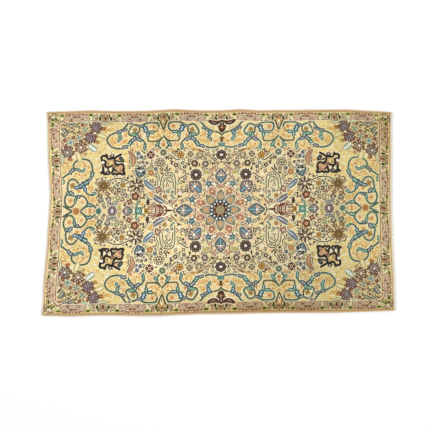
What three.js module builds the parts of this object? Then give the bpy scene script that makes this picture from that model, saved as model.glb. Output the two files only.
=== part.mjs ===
// A hand-knotted Persian rug that lies flat: a pile carpet body, two overcast selvedges
// along its long sides, and a flat-woven web with a short knotted fringe on each end.
// Millimetres, +Z up. X runs along the rug's length, Y across its width, and the origin
// is on the floor, under the middle of all that the rug reaches.
import * as THREE from "three";

// Driving dimensions of the woven rug, without its fringe.
const LENGTH = 2400;
const WIDTH = 1400;
const BODY_THICKNESS = 9;
const SEAM_GAP = 0.3;

// The overcast edge cord of each long side.
const SELVEDGE_WIDTH = 12;
const SELVEDGE_HEIGHT = 10;
const SELVEDGE_SIDES = 8;

// The worn rim of the pile, where it is rounded down beside the selvedge and the web.
const RIM_INSET = 5;
const RIM_DROP = 2;

// The flat-woven end webs and the short tassels knotted from their warps.
const WEB_THICKNESS = 2.4;
const WEB_WIDTH = { left: 9, right: 10 };
const TASSEL_LENGTH = { left: 8, right: 14 };
const TASSEL_COUNT = { left: 94, right: 100 };
const TASSEL_ROOT_WIDTH = 4.4;
const TASSEL_KNOT_WIDTH = 7.6;
const TASSEL_KNOT_SHARE = 0.35;
const TASSEL_TIP_WIDTH = 4.8;
const TASSEL_SWAY = 1.6;

// How finely the rug is stepped between its rims.
const BODY_STEPS = { along: 44, across: 22 };

const HALF_LENGTH = LENGTH / 2;
const HALF_BODY = WIDTH / 2 - SELVEDGE_WIDTH - SEAM_GAP;

// How far each end is drawn in at a place across the width: the rug is narrower in its
// waist, more so on the left.
const END_DRAWN_IN = {
  left: [
    { across: -700, drawn: -5 },
    { across: -620, drawn: 2 },
    { across: -500, drawn: 5 },
    { across: -370, drawn: 14 },
    { across: -250, drawn: 24 },
    { across: -130, drawn: 30 },
    { across: 0, drawn: 37 },
    { across: 120, drawn: 42 },
    { across: 250, drawn: 34 },
    { across: 370, drawn: 26 },
    { across: 500, drawn: 22 },
    { across: 640, drawn: 18 },
    { across: 700, drawn: 11 },
  ],
  right: [
    { across: -700, drawn: 9 },
    { across: -500, drawn: 9 },
    { across: -350, drawn: 12 },
    { across: -220, drawn: 16 },
    { across: 60, drawn: 16 },
    { across: 170, drawn: 14 },
    { across: 370, drawn: 8 },
    { across: 500, drawn: 5 },
    { across: 640, drawn: 2 },
    { across: 700, drawn: -3 },
  ],
};

// How far each long side bulges out at a place along the length.
const SIDE_BULGE = {
  far: [
    { along: -1200, out: -6 },
    { along: -1030, out: -1 },
    { along: -900, out: 3 },
    { along: -760, out: 0 },
    { along: -620, out: 0 },
    { along: -480, out: 3 },
    { along: -310, out: 11 },
    { along: -190, out: 7 },
    { along: 0, out: 5 },
    { along: 140, out: 11 },
    { along: 280, out: 6 },
    { along: 420, out: 8 },
    { along: 560, out: 7 },
    { along: 700, out: 10 },
    { along: 900, out: 10 },
    { along: 1000, out: 5 },
    { along: 1130, out: -1 },
    { along: 1200, out: -6 },
  ],
  near: [
    { along: -1200, out: 6 },
    { along: -1020, out: 11 },
    { along: -820, out: 8 },
    { along: -560, out: 12 },
    { along: -410, out: 12 },
    { along: -270, out: 8 },
    { along: -140, out: 4 },
    { along: 130, out: 3 },
    { along: 280, out: 0 },
    { along: 800, out: 0 },
    { along: 960, out: -3 },
    { along: 1200, out: -9 },
  ],
};

// The ripples that lift each long side off the floor. Each is highest at the edge and has
// died out at its reach, so the middle of the rug and both ends lie flat.
const RIPPLES = [
  { side: "far", along: -880, halfWidth: 190, height: 4, reach: 230 },
  { side: "far", along: -340, halfWidth: 170, height: 6, reach: 280 },
  { side: "far", along: 145, halfWidth: 150, height: 5, reach: 240 },
  { side: "far", along: 600, halfWidth: 160, height: 4, reach: 220 },
  { side: "far", along: 880, halfWidth: 130, height: 4, reach: 200 },
  { side: "near", along: -1010, halfWidth: 130, height: 3, reach: 180 },
  { side: "near", along: -470, halfWidth: 200, height: 5, reach: 230 },
  { side: "near", along: 700, halfWidth: 190, height: 4, reach: 200 },
];

// Slope of a table's values at one of its rows, from the rows beside it.
function rowSlope(rows, i, placeColumn, valueColumn) {
  const before = rows[Math.max(i - 1, 0)];
  const after = rows[Math.min(i + 1, rows.length - 1)];
  const rise = after[valueColumn] - before[valueColumn];
  return rise / (after[placeColumn] - before[placeColumn]);
}

// Reads a table at a place, along a smooth curve through its rows.
function readTable(rows, place, placeColumn, valueColumn) {
  const last = rows.length - 1;
  if (place <= rows[0][placeColumn]) return rows[0][valueColumn];
  if (place >= rows[last][placeColumn]) return rows[last][valueColumn];
  const i = rows.findIndex((row) => row[placeColumn] > place) - 1;
  const span = rows[i + 1][placeColumn] - rows[i][placeColumn];
  const t = (place - rows[i][placeColumn]) / span;
  const slopeBefore = span * rowSlope(rows, i, placeColumn, valueColumn);
  const slopeAfter = span * rowSlope(rows, i + 1, placeColumn, valueColumn);
  const rest = 1 - t;
  return (
    rows[i][valueColumn] * (1 + 2 * t) * rest * rest +
    rows[i + 1][valueColumn] * (3 - 2 * t) * t * t +
    slopeBefore * t * rest * rest -
    slopeAfter * t * t * rest
  );
}

// Plan position of a flat point of the rug, once its waist and bulges have moved it.
function planPoint(flatX, flatY) {
  const toRight = ((flatX + HALF_LENGTH) / LENGTH) ** 3;
  const toLeft = ((HALF_LENGTH - flatX) / LENGTH) ** 3;
  const toFar = ((flatY + WIDTH / 2) / WIDTH) ** 3;
  const toNear = ((WIDTH / 2 - flatY) / WIDTH) ** 3;
  const drawnLeft = readTable(END_DRAWN_IN.left, flatY, "across", "drawn");
  const drawnRight = readTable(END_DRAWN_IN.right, flatY, "across", "drawn");
  const bulgeFar = readTable(SIDE_BULGE.far, flatX, "along", "out");
  const bulgeNear = readTable(SIDE_BULGE.near, flatX, "along", "out");
  return {
    x: flatX + drawnLeft * toLeft - drawnRight * toRight,
    y: flatY + bulgeFar * toFar - bulgeNear * toNear,
  };
}

// Height of the underside above the floor at a flat point.
function liftAt(flatX, flatY) {
  let lift = 0;
  for (const ripple of RIPPLES) {
    const fromEdge =
      ripple.side === "far" ? WIDTH / 2 - flatY : WIDTH / 2 + flatY;
    const along = Math.abs(flatX - ripple.along) / ripple.halfWidth;
    const inward = fromEdge / ripple.reach;
    if (along >= 1 || inward >= 1) continue;
    const crest = Math.cos((along * Math.PI) / 2) ** 2;
    const fading = Math.cos((Math.max(inward, 0) * Math.PI) / 2) ** 2;
    lift += ripple.height * crest * fading;
  }
  return lift;
}

// A place on the rug: flat position and height above its underside.
function rugVertex(flatX, flatY, height) {
  const plan = planPoint(flatX, flatY);
  return new THREE.Vector3(plan.x, plan.y, liftAt(flatX, flatY) + height);
}

// Stations across a span: its two ends, and even steps between its two rims.
function rimmedStations(half, steps) {
  const inner = half - RIM_INSET;
  const even = Array.from(
    { length: steps + 1 },
    (_, i) => -inner + (2 * inner * i) / steps,
  );
  return [-half, ...even, half];
}

const STATIONS_X = rimmedStations(HALF_LENGTH, BODY_STEPS.along);
const STATIONS_Y = rimmedStations(HALF_BODY, BODY_STEPS.across);

// A geometry from its points and the corners of its triangles.
function closedGeometry(points, triangles) {
  const geometry = new THREE.BufferGeometry();
  geometry.setAttribute(
    "position",
    new THREE.Float32BufferAttribute(
      points.flatMap((point) => [point.x, point.y, point.z]),
      3,
    ),
  );
  geometry.setIndex(triangles);
  return geometry;
}

// The triangles of the wall that joins each ring of points to the next ring.
function wallTriangles(ringCount, ringSize) {
  const triangles = [];
  for (let ring = 0; ring < ringCount - 1; ring += 1) {
    for (let side = 0; side < ringSize; side += 1) {
      const a = ring * ringSize + side;
      const b = ring * ringSize + ((side + 1) % ringSize);
      triangles.push(a, b, b + ringSize, a, b + ringSize, a + ringSize);
    }
  }
  return triangles;
}

// The pile body: a slab that follows the ripples, its pile rounded down along its rim.
// Each ring of points runs across the underside and comes back over the top.
function bodyGeometry() {
  const lastX = STATIONS_X.length - 1;
  const lastY = STATIONS_Y.length - 1;
  const topHeight = (i, j) => {
    const onRim = i === 0 || j === 0 || i === lastX || j === lastY;
    return BODY_THICKNESS - (onRim ? RIM_DROP : 0);
  };
  const rings = STATIONS_X.map((flatX, i) => {
    const under = STATIONS_Y.map((flatY) => rugVertex(flatX, flatY, 0));
    const over = STATIONS_Y.map((flatY, j) =>
      rugVertex(flatX, flatY, topHeight(i, j)),
    );
    return [...under, ...over.reverse()];
  });
  const ringSize = rings[0].length;
  const triangles = wallTriangles(rings.length, ringSize);
  const lastRing = lastX * ringSize;
  for (let j = 0; j < lastY; j += 1) {
    const above = ringSize - 1 - j;
    triangles.push(j, above - 1, j + 1, j, above, above - 1);
    triangles.push(lastRing + j, lastRing + above - 1, lastRing + above);
    triangles.push(lastRing + j, lastRing + j + 1, lastRing + above - 1);
  }
  return closedGeometry(rings.flat(), triangles);
}

// One overcast selvedge: a flattened round cord that lies against the body's long side.
function selvedgeGeometry(outward) {
  const centreY = outward * (WIDTH / 2 - SELVEDGE_WIDTH / 2);
  const reach = 1 / Math.cos(Math.PI / SELVEDGE_SIDES);
  const rings = STATIONS_X.map((flatX) =>
    Array.from({ length: SELVEDGE_SIDES }, (_, side) => {
      const angle = ((side + 0.5) * 2 * Math.PI) / SELVEDGE_SIDES;
      const across = (SELVEDGE_WIDTH / 2) * reach * Math.cos(angle);
      const up = (SELVEDGE_HEIGHT / 2) * (1 + reach * Math.sin(angle));
      return rugVertex(flatX, centreY + across, up);
    }),
  );
  const triangles = wallTriangles(rings.length, SELVEDGE_SIDES);
  const last = (rings.length - 1) * SELVEDGE_SIDES;
  for (let side = 1; side < SELVEDGE_SIDES - 1; side += 1) {
    triangles.push(0, side + 1, side);
    triangles.push(last, last + side, last + side + 1);
  }
  return closedGeometry(rings.flat(), triangles);
}

// One end's web and tassels, drawn in plan as a single outline and given a thickness.
// The outline runs along the end of the rug and comes back from tassel to tassel.
function fringeGeometry(end) {
  const outward = end === "left" ? -1 : 1;
  const half = WIDTH / 2;
  const webEdge = SEAM_GAP + WEB_WIDTH[end];
  // A point some way out from the rug's end, and to one side of the place flatY.
  const beyondEnd = (flatY, out, aside = 0) => {
    const edge = planPoint(outward * HALF_LENGTH, flatY);
    return new THREE.Vector2(edge.x + outward * out, edge.y + aside);
  };
  const outline = [-half, ...STATIONS_Y, half].map((flatY) =>
    beyondEnd(flatY, SEAM_GAP),
  );
  outline.push(beyondEnd(half, webEdge));
  const pitch = WIDTH / TASSEL_COUNT[end];
  for (let i = TASSEL_COUNT[end] - 1; i >= 0; i -= 1) {
    const middle = -half + (i + 0.5) * pitch;
    const sway = TASSEL_SWAY * Math.sin(i * 2.4) * Math.cos(i * 0.7);
    const reach = TASSEL_LENGTH[end] * (1 + 0.12 * Math.sin(i * 1.7));
    const corner = (share, width, side) =>
      beyondEnd(middle, webEdge + reach * share, sway * share + (side * width) / 2);
    outline.push(
      corner(0, TASSEL_ROOT_WIDTH, 1),
      corner(TASSEL_KNOT_SHARE, TASSEL_KNOT_WIDTH, 1),
      corner(1, TASSEL_TIP_WIDTH, 1),
      corner(1, TASSEL_TIP_WIDTH, -1),
      corner(TASSEL_KNOT_SHARE, TASSEL_KNOT_WIDTH, -1),
      corner(0, TASSEL_ROOT_WIDTH, -1),
    );
  }
  outline.push(beyondEnd(-half, webEdge));
  return new THREE.ExtrudeGeometry(new THREE.Shape(outline), {
    depth: WEB_THICKNESS,
    bevelEnabled: false,
  });
}

const woolPile = new THREE.MeshStandardMaterial({
  color: 0xd9c07e,
  roughness: 0.92,
  metalness: 0,
});
const overcastWool = new THREE.MeshStandardMaterial({
  color: 0xb98a4e,
  roughness: 0.9,
  metalness: 0,
});
const cottonWarp = new THREE.MeshStandardMaterial({
  color: 0xefe6d2,
  roughness: 0.95,
  metalness: 0,
});

function piece(name, geometry, material) {
  const mesh = new THREE.Mesh(geometry, material);
  mesh.name = name;
  return mesh;
}

const rug = new THREE.Group();
rug.add(
  piece("pile_body", bodyGeometry(), woolPile),
  piece("selvedge_far", selvedgeGeometry(1), overcastWool),
  piece("selvedge_near", selvedgeGeometry(-1), overcastWool),
  piece("fringe_left", fringeGeometry("left"), cottonWarp),
  piece("fringe_right", fringeGeometry("right"), cottonWarp),
);

const middle = new THREE.Box3().setFromObject(rug).getCenter(new THREE.Vector3());
rug.position.set(-middle.x, -middle.y, 0);

export default rug;
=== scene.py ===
"""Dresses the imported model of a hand-knotted Persian rug that lies flat on a pale floor.

The rug is built as a weaver would make it: a knotted pile on its woven back, an overcast
selvedge along each long side, and a flat-woven web with short knotted tassels at each end.
The design is charted knot by knot from named motifs, in one quarter of the rug, and the
other three quarters mirror it. Sizes in the classes are millimetres, objects are metres.
"""

import logging
import math
from dataclasses import dataclass, field
from enum import Enum
from typing import Callable, NamedTuple, Optional, Sequence, TypeVar, Union

import bmesh
import bpy
import numpy as np
from mathutils import Matrix, Vector


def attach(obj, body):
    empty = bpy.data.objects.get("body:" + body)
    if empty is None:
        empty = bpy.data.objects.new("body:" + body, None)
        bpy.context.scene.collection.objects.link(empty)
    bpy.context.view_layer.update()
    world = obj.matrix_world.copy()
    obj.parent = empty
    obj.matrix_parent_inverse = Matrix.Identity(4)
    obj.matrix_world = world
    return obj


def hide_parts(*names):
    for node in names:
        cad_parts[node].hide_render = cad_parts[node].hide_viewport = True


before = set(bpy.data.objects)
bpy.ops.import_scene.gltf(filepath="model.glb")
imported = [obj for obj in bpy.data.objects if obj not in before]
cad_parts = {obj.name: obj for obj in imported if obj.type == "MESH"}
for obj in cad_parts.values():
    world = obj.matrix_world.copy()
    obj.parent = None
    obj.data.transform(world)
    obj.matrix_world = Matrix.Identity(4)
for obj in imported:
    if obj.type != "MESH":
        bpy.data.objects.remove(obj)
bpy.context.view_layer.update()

LOG = logging.getLogger("persian_rug")
MM = 0.001
CELL = 4  # knots along each side of a face
Point = tuple[float, float]
Array = np.ndarray
Form = Callable[[float], float]
Choice = TypeVar("Choice")


class Dye(Enum):
    """The dyed wools of the pile, each with its sRGB colour."""

    IVORY = "fbf0c9"
    CREAM = "f3dea4"
    STRAW = "f4de95"
    GOLD = "e6b454"
    AMBER = "c2823a"
    PEACH = "f0c08c"
    ROSE = "cb987c"
    PINK = "eac6a8"
    RUST = "b5704c"
    BRICK = "8f4938"
    MAROON = "5f2c27"
    COCOA = "6a4a24"
    TAN = "a67c40"
    UMBER = "3f2b12"
    COAL = "241a11"
    OLIVE = "69632d"
    MOSS = "495221"
    PINE = "3a4d30"
    TEAL = "3f7c74"
    SEA = "78ab90"
    MINT = "bcdcba"
    BLUE = "4f8499"
    SKY = "9bc2ce"
    NAVY = "38474a"
    SLATE = "6b7472"
    LILAC = "afa4ae"
    MAUVE = "8e766c"
    PLUM = "5a413d"
    WHITE = "fdfaf2"
    SAGE = "a4a774"
    STONE = "aa9876"
    LIME = "cfcb7c"

    @property
    def number(self) -> int:
        """The dye's place in the palette."""
        return list(Dye).index(self)

    @property
    def linear(self) -> tuple[float, float, float, float]:
        """The dye's colour as linear light, with an alpha of 1.

        Returns:
            Red, green, blue and alpha.
        """
        parts = [int(self.value[i : i + 2], 16) / 255 for i in (0, 2, 4)]
        light = [p / 12.92 if p <= 0.04045 else ((p + 0.055) / 1.055) ** 2.4 for p in parts]
        return (light[0], light[1], light[2], 1.0)


(
    IVORY, CREAM, STRAW, GOLD, AMBER, PEACH, ROSE, PINK, RUST, BRICK, MAROON, COCOA, TAN, UMBER, COAL,
    OLIVE, MOSS, PINE, TEAL, SEA, MINT, BLUE, SKY, NAVY, SLATE, LILAC, MAUVE, PLUM, WHITE, SAGE, STONE,
    LIME,
) = Dye  # fmt: skip

PALETTE = len(Dye)


class Row(NamedTuple):
    """One row of a table that is read along a line: a place and the value there."""

    place: float
    value: float


class Ripple(NamedTuple):
    """One soft ripple that lifts a long side of the rug off the floor."""

    side: int
    along: float
    half_width: float
    height: float
    reach: float


@dataclass(frozen=True)
class RugPlan:
    """The rug's flat sizes, its uneven outline and its ripples, the same as its solids have."""

    length: float = 2400.0
    width: float = 1400.0
    body_thickness: float = 9.0
    seam_gap: float = 0.3
    selvedge_width: float = 12.0
    selvedge_height: float = 10.0
    middle_shift: Point = (-2.034, 0.852)
    drawn_left: tuple[Row, ...] = (
        Row(-700, -5), Row(-620, 2), Row(-500, 5), Row(-370, 14), Row(-250, 24),
        Row(-130, 30), Row(0, 37), Row(120, 42), Row(250, 34), Row(370, 26),
        Row(500, 22), Row(640, 18), Row(700, 11),
    )  # fmt: skip
    drawn_right: tuple[Row, ...] = (
        Row(-700, 9), Row(-500, 9), Row(-350, 12), Row(-220, 16), Row(60, 16),
        Row(170, 14), Row(370, 8), Row(500, 5), Row(640, 2), Row(700, -3),
    )  # fmt: skip
    bulge_far: tuple[Row, ...] = (
        Row(-1200, -6), Row(-1030, -1), Row(-900, 3), Row(-760, 0), Row(-620, 0),
        Row(-480, 3), Row(-310, 11), Row(-190, 7), Row(0, 5), Row(140, 11), Row(280, 6),
        Row(420, 8), Row(560, 7), Row(700, 10), Row(900, 10), Row(1000, 5),
        Row(1130, -1), Row(1200, -6),
    )  # fmt: skip
    bulge_near: tuple[Row, ...] = (
        Row(-1200, 6), Row(-1020, 11), Row(-820, 8), Row(-560, 12), Row(-410, 12),
        Row(-270, 8), Row(-140, 4), Row(130, 3), Row(280, 0), Row(800, 0),
        Row(960, -3), Row(1200, -9),
    )  # fmt: skip
    ripples: tuple[Ripple, ...] = (
        Ripple(1, -880, 190, 4, 230),
        Ripple(1, -340, 170, 6, 280),
        Ripple(1, 145, 150, 5, 240),
        Ripple(1, 600, 160, 4, 220),
        Ripple(1, 880, 130, 4, 200),
        Ripple(-1, -1010, 130, 3, 180),
        Ripple(-1, -470, 200, 5, 230),
        Ripple(-1, 700, 190, 4, 200),
    )

    @property
    def half_body(self) -> float:
        """Half the width of the pile body, between its selvedges."""
        return self.width / 2 - self.selvedge_width - self.seam_gap

    @staticmethod
    def read(rows: Sequence[Row], place: Array) -> Array:
        """Reads a table along a smooth curve through its rows.

        Args:
            rows: The table, in order of place.
            place: Where to read it.

        Returns:
            The values at those places.
        """
        places = np.array([row.place for row in rows], float)
        values = np.array([row.value for row in rows], float)
        before = np.maximum(np.arange(len(rows)) - 1, 0)
        after = np.minimum(np.arange(len(rows)) + 1, len(rows) - 1)
        slopes = (values[after] - values[before]) / (places[after] - places[before])
        place = np.clip(place, places[0], places[-1])
        i = np.clip(np.searchsorted(places, place, side="right") - 1, 0, len(rows) - 2)
        span = places[i + 1] - places[i]
        t = (place - places[i]) / span
        rest = 1 - t
        return (
            values[i] * (1 + 2 * t) * rest**2
            + values[i + 1] * (3 - 2 * t) * t**2
            + span * slopes[i] * t * rest**2
            - span * slopes[i + 1] * t**2 * rest
        )

    def plan(self, x: Array, y: Array) -> tuple[Array, Array]:
        """Moves flat points to where the rug's waist and bulges put them.

        Args:
            x: Flat places along the rug.
            y: Flat places across it.

        Returns:
            The points' places in plan, before the shift to the origin.
        """
        to_right = ((x + self.length / 2) / self.length) ** 3
        to_left = ((self.length / 2 - x) / self.length) ** 3
        to_far = ((y + self.width / 2) / self.width) ** 3
        to_near = ((self.width / 2 - y) / self.width) ** 3
        drawn = self.read(self.drawn_left, y) * to_left - self.read(self.drawn_right, y) * to_right
        bulge = self.read(self.bulge_far, x) * to_far - self.read(self.bulge_near, x) * to_near
        return x + drawn, y + bulge

    def lift(self, x: Array, y: Array) -> Array:
        """Gives the height of the underside above the floor.

        Args:
            x: Flat places along the rug.
            y: Flat places across it.

        Returns:
            The heights.
        """
        height = np.zeros(np.broadcast(x, y).shape)
        for ripple in self.ripples:
            along = np.minimum(np.abs(x - ripple.along) / ripple.half_width, 1)
            inward = np.clip((self.width / 2 - ripple.side * y) / ripple.reach, 0, 1)
            crest = np.cos(along * math.pi / 2) ** 2
            height = height + ripple.height * crest * np.cos(inward * math.pi / 2) ** 2
        return height

    def lay(self, points: Array) -> Array:
        """Lays flat points on the floor as the rug lies.

        Args:
            points: Rows of flat x, flat y and height above the underside.

        Returns:
            Rows of x, y and z in metres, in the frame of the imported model.
        """
        x, y = self.plan(points[:, 0], points[:, 1])
        z = self.lift(points[:, 0], points[:, 1]) + points[:, 2]
        shift_x, shift_y = self.middle_shift
        return np.stack([x + shift_x, y + shift_y, z], axis=1) * MM


def even(t: float) -> float:
    """The same breadth all along a stroke."""
    return 1.0


def leaf_form(t: float) -> float:
    """Pointed at both ends and full in the middle."""
    return math.sin(math.pi * min(max(t, 0.0), 1.0)) ** 0.75


def petal_form(t: float) -> float:
    """Full near its foot, with a long drawn-out tip."""
    return math.sin(math.pi * min(max(t, 0.0), 1.0) ** 0.82) ** 1.15


def drop_form(t: float) -> float:
    """Pointed where it starts and round where it ends."""
    return math.sin(math.pi * min(t, 1.0) ** 1.7) ** 0.6 if t < 0.97 else 0.3


def out_from(x: float, y: float, reach: float, turn: float) -> Point:
    """Gives the place at a reach from another, toward a turn in degrees."""
    angle = math.radians(turn)
    return (x + reach * math.cos(angle), y + reach * math.sin(angle))


def turns(count: int, start: float = 0.0) -> list[float]:
    """Gives evenly spaced turns in degrees, all the way round."""
    return [start + k * 360 / count for k in range(count)]


def pick(rng: np.random.Generator, choices: Sequence[Choice]) -> Choice:
    """Draws one of the choices."""
    return choices[int(rng.integers(len(choices)))]


class Tones(NamedTuple):
    """The four dyes of a motif, from its outline to its middle."""

    outline: Dye
    body: Dye
    heart: Dye
    core: Dye


@dataclass
class Chart:
    """One quarter of the weaver's chart: a dye for each knot, drawn motif by motif.

    Places are millimetres from the middle of the rug, along it and across it.
    """

    half_length: float
    half_width: float
    knots_along: int
    knots_across: int
    knots: Array = field(init=False)

    def __post_init__(self) -> None:
        """Starts with the plain ground."""
        self.pitch_x = self.half_length / self.knots_along
        self.pitch_y = self.half_width / self.knots_across
        self.knots = np.full((self.knots_across, self.knots_along), CREAM.number, np.uint8)

    def middles(self) -> tuple[Array, Array]:
        """Gives the places of the knots, along the rug and across it.

        Returns:
            A row of places along the rug, and a column of places across it.
        """
        x = (np.arange(self.knots_along) + 0.5)[None, :] * self.pitch_x
        y = (np.arange(self.knots_across) + 0.5)[:, None] * self.pitch_y
        return x, y

    def window(self, x: float, y: float, reach: float) -> tuple[Array, Array, Array]:
        """Takes the knots around a place.

        Args:
            x: Place along the rug.
            y: Place across it.
            reach: Half the side of the window.

        Returns:
            The knots, and their distances from the place along and across.
        """
        i0 = max(int((x - reach) / self.pitch_x), 0)
        i1 = min(int((x + reach) / self.pitch_x) + 2, self.knots_along)
        j0 = max(int((y - reach) / self.pitch_y), 0)
        j1 = min(int((y + reach) / self.pitch_y) + 2, self.knots_across)
        along = (np.arange(i0, max(i1, i0)) + 0.5) * self.pitch_x - x
        across = (np.arange(j0, max(j1, j0)) + 0.5) * self.pitch_y - y
        return self.knots[j0:j1, i0:i1], along[None, :], across[:, None]

    def disc(self, x: float, y: float, radius: float, dye: Dye) -> None:
        """Fills a round spot.

        Args:
            x: Place along the rug.
            y: Place across it.
            radius: Its radius.
            dye: Its dye.
        """
        knots, dx, dy = self.window(x, y, radius)
        if knots.size:
            knots[dx**2 + dy**2 < radius**2] = dye.number

    def discs(self, x: float, y: float, *rings: tuple[float, Dye]) -> None:
        """Fills round spots one over the other, each with its radius and dye."""
        for radius, dye in rings:
            self.disc(x, y, radius, dye)

    def oval(
        self, x: float, y: float, long: float, short: float, turn: float, dye: Dye, power: float = 2.0
    ) -> None:
        """Fills an oval spot, or a lozenge with curved sides.

        Args:
            x: Place along the rug.
            y: Place across it.
            long: Half its length.
            short: Half its breadth.
            turn: Its turn in degrees, from along the rug.
            dye: Its dye.
            power: How full it is: 1 is a lozenge with straight sides, 2 is an oval.
        """
        knots, dx, dy = self.window(x, y, max(long, short))
        c, s = math.cos(math.radians(turn)), math.sin(math.radians(turn))
        if knots.size:
            u, v = np.abs(dx * c + dy * s) / long, np.abs(dy * c - dx * s) / short
            knots[u**power + v**power < 1] = dye.number

    def ovals(self, x: float, y: float, turn: float, *ovals: tuple[float, float, Dye]) -> None:
        """Fills ovals one over the other, each with half its length and breadth, and its dye."""
        for long, short, dye in ovals:
            self.oval(x, y, long, short, turn, dye)

    def scallop(
        self, x: float, y: float, radius: float, lobes: int, depth: float, turn: float, dye: Dye
    ) -> None:
        """Fills a round form with a lobed rim.

        Args:
            x: Place along the rug.
            y: Place across it.
            radius: Its radius at the top of a lobe.
            lobes: How many lobes it has.
            depth: How deep the rim is cut between lobes, as a share of the radius.
            turn: Its turn in degrees.
            dye: Its dye.
        """
        knots, dx, dy = self.window(x, y, radius)
        if knots.size:
            angle = np.arctan2(dy, dx) - math.radians(turn)
            rim = radius * (1 - depth + depth * np.abs(np.cos(lobes * angle / 2)) ** 0.7)
            knots[np.hypot(dx, dy) < rim] = dye.number

    def scallops(
        self, x: float, y: float, lobes: int, depth: float, turn: float, *rings: tuple[float, Dye]
    ) -> None:
        """Fills lobed forms one over the other, each with its radius and dye."""
        for radius, dye in rings:
            self.scallop(x, y, radius, lobes, depth, turn, dye)

    @staticmethod
    def curve(points: Sequence[Point], spacing: float = 1.1) -> list[Point]:
        """Runs a smooth curve through points.

        Args:
            points: What the curve passes through.
            spacing: How far apart the places on it are.

        Returns:
            Places along the curve.
        """
        if len(points) == 2:
            points = [points[0], tuple(np.mean(points, axis=0)), points[1]]
        p = np.array([points[0], *points, points[-1]], float)
        path: list[Point] = []
        for i in range(1, len(p) - 2):
            steps = max(int(np.hypot(*(p[i + 1] - p[i])) / spacing), 2)
            for t in np.arange(steps) / steps:
                a = 2 * p[i]
                b = p[i + 1] - p[i - 1]
                c = 2 * p[i - 1] - 5 * p[i] + 4 * p[i + 1] - p[i + 2]
                d = 3 * p[i] - p[i - 1] - 3 * p[i + 1] + p[i + 2]
                path.append(tuple(0.5 * (a + b * t + c * t * t + d * t**3)))
        path.append(tuple(p[-2]))
        return path

    def stroke(
        self,
        points: Sequence[Point],
        breadth: float,
        dye: Dye,
        form: Form = even,
        extra: float = 0.0,
    ) -> None:
        """Draws a smooth line of knots.

        Args:
            points: What the line passes through.
            breadth: Its full breadth.
            dye: Its dye.
            form: How its breadth changes from its start to its end.
            extra: Breadth added all along, as for an outline.
        """
        path = self.curve(points)
        last = max(len(path) - 1, 1)
        for i, (x, y) in enumerate(path):
            self.disc(x, y, max(0.5 * (breadth * form(i / last) + extra), 0.8), dye)

    def layers(self, points: Sequence[Point], form: Form, *strokes: tuple[float, Dye]) -> None:
        """Draws lines of knots one over the other, each with its breadth and dye."""
        for breadth, dye in strokes:
            self.stroke(points, breadth, dye, form)

    def leaf(
        self, points: Sequence[Point], breadth: float, tones: Tones, edge: float = 5.0
    ) -> None:
        """Draws a leaf with an outline and a lighter rib.

        Args:
            points: Its middle line, from stalk to tip.
            breadth: Its full breadth.
            tones: Its dyes.
            edge: Breadth that the outline adds.
        """
        self.stroke(points, breadth, tones.outline, leaf_form, edge)
        self.layers(points, leaf_form, (breadth * 0.86, tones.body), (breadth * 0.36, tones.heart))
        self.stroke(points[1:] if len(points) > 2 else points, breadth * 0.14, tones.core, leaf_form)

    def rosette(
        self, x: float, y: float, radius: float, petals: int, tones: Tones, turn: float = 0.0
    ) -> None:
        """Draws a round flower of joined petals.

        Args:
            x: Place along the rug.
            y: Place across it.
            radius: Its radius.
            petals: How many petals it has.
            tones: Its dyes.
            turn: Its turn in degrees.
        """
        outline, body, heart, core = tones
        self.scallop(x, y, radius, petals, 0.2, turn, outline)
        breadth = 2.2 * math.pi * radius * 0.7 / petals
        for k, way in enumerate(turns(petals, turn)):
            path = [out_from(x, y, r, way) for r in (radius * 0.36, radius * 0.97)]
            self.stroke(path, breadth * 0.62, body, drop_form)
            self.stroke(path, breadth * 0.2, heart if k % 2 else outline, leaf_form)
        self.discs(x, y, (radius * 0.42, outline), (radius * 0.32, heart), (radius * 0.2, core))

    def floret(
        self, x: float, y: float, radius: float, petals: int, tones: Tones, turn: float = 0.0
    ) -> None:
        """Draws a small flower of separate round petals.

        Args:
            x: Place along the rug.
            y: Place across it.
            radius: Its radius.
            petals: How many petals it has.
            tones: Its dyes.
            turn: Its turn in degrees.
        """
        for breadth, dye in ((0.46, tones.outline), (0.24, tones.body)):
            for way in turns(petals, turn):
                self.disc(*out_from(x, y, 0.6 * radius, way), radius * breadth, dye)
        self.discs(x, y, (radius * 0.34, tones.heart), (radius * 0.15, tones.core))

    def star(
        self, x: float, y: float, radius: float, petals: int, tones: Tones, turn: float = 0.0
    ) -> None:
        """Draws a flower of thin pointed petals that stand apart.

        Args:
            x: Place along the rug.
            y: Place across it.
            radius: Its radius.
            petals: How many petals it has.
            tones: Its dyes.
            turn: Its turn in degrees.
        """
        for near, strokes in (
            (0.22, ((0.2, IVORY, 7.0),)),
            (0.16, ((0.24, tones.outline, 2.5), (0.08, tones.body, 0.0))),
        ):
            for way in turns(petals, turn):
                ends = [out_from(x, y, r, way) for r in (radius * near, radius)]
                for breadth, dye, extra in strokes:
                    self.stroke(ends, radius * breadth, dye, leaf_form, extra)
        self.discs(x, y, (radius * 0.2, tones.heart), (radius * 0.1, tones.core))

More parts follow.
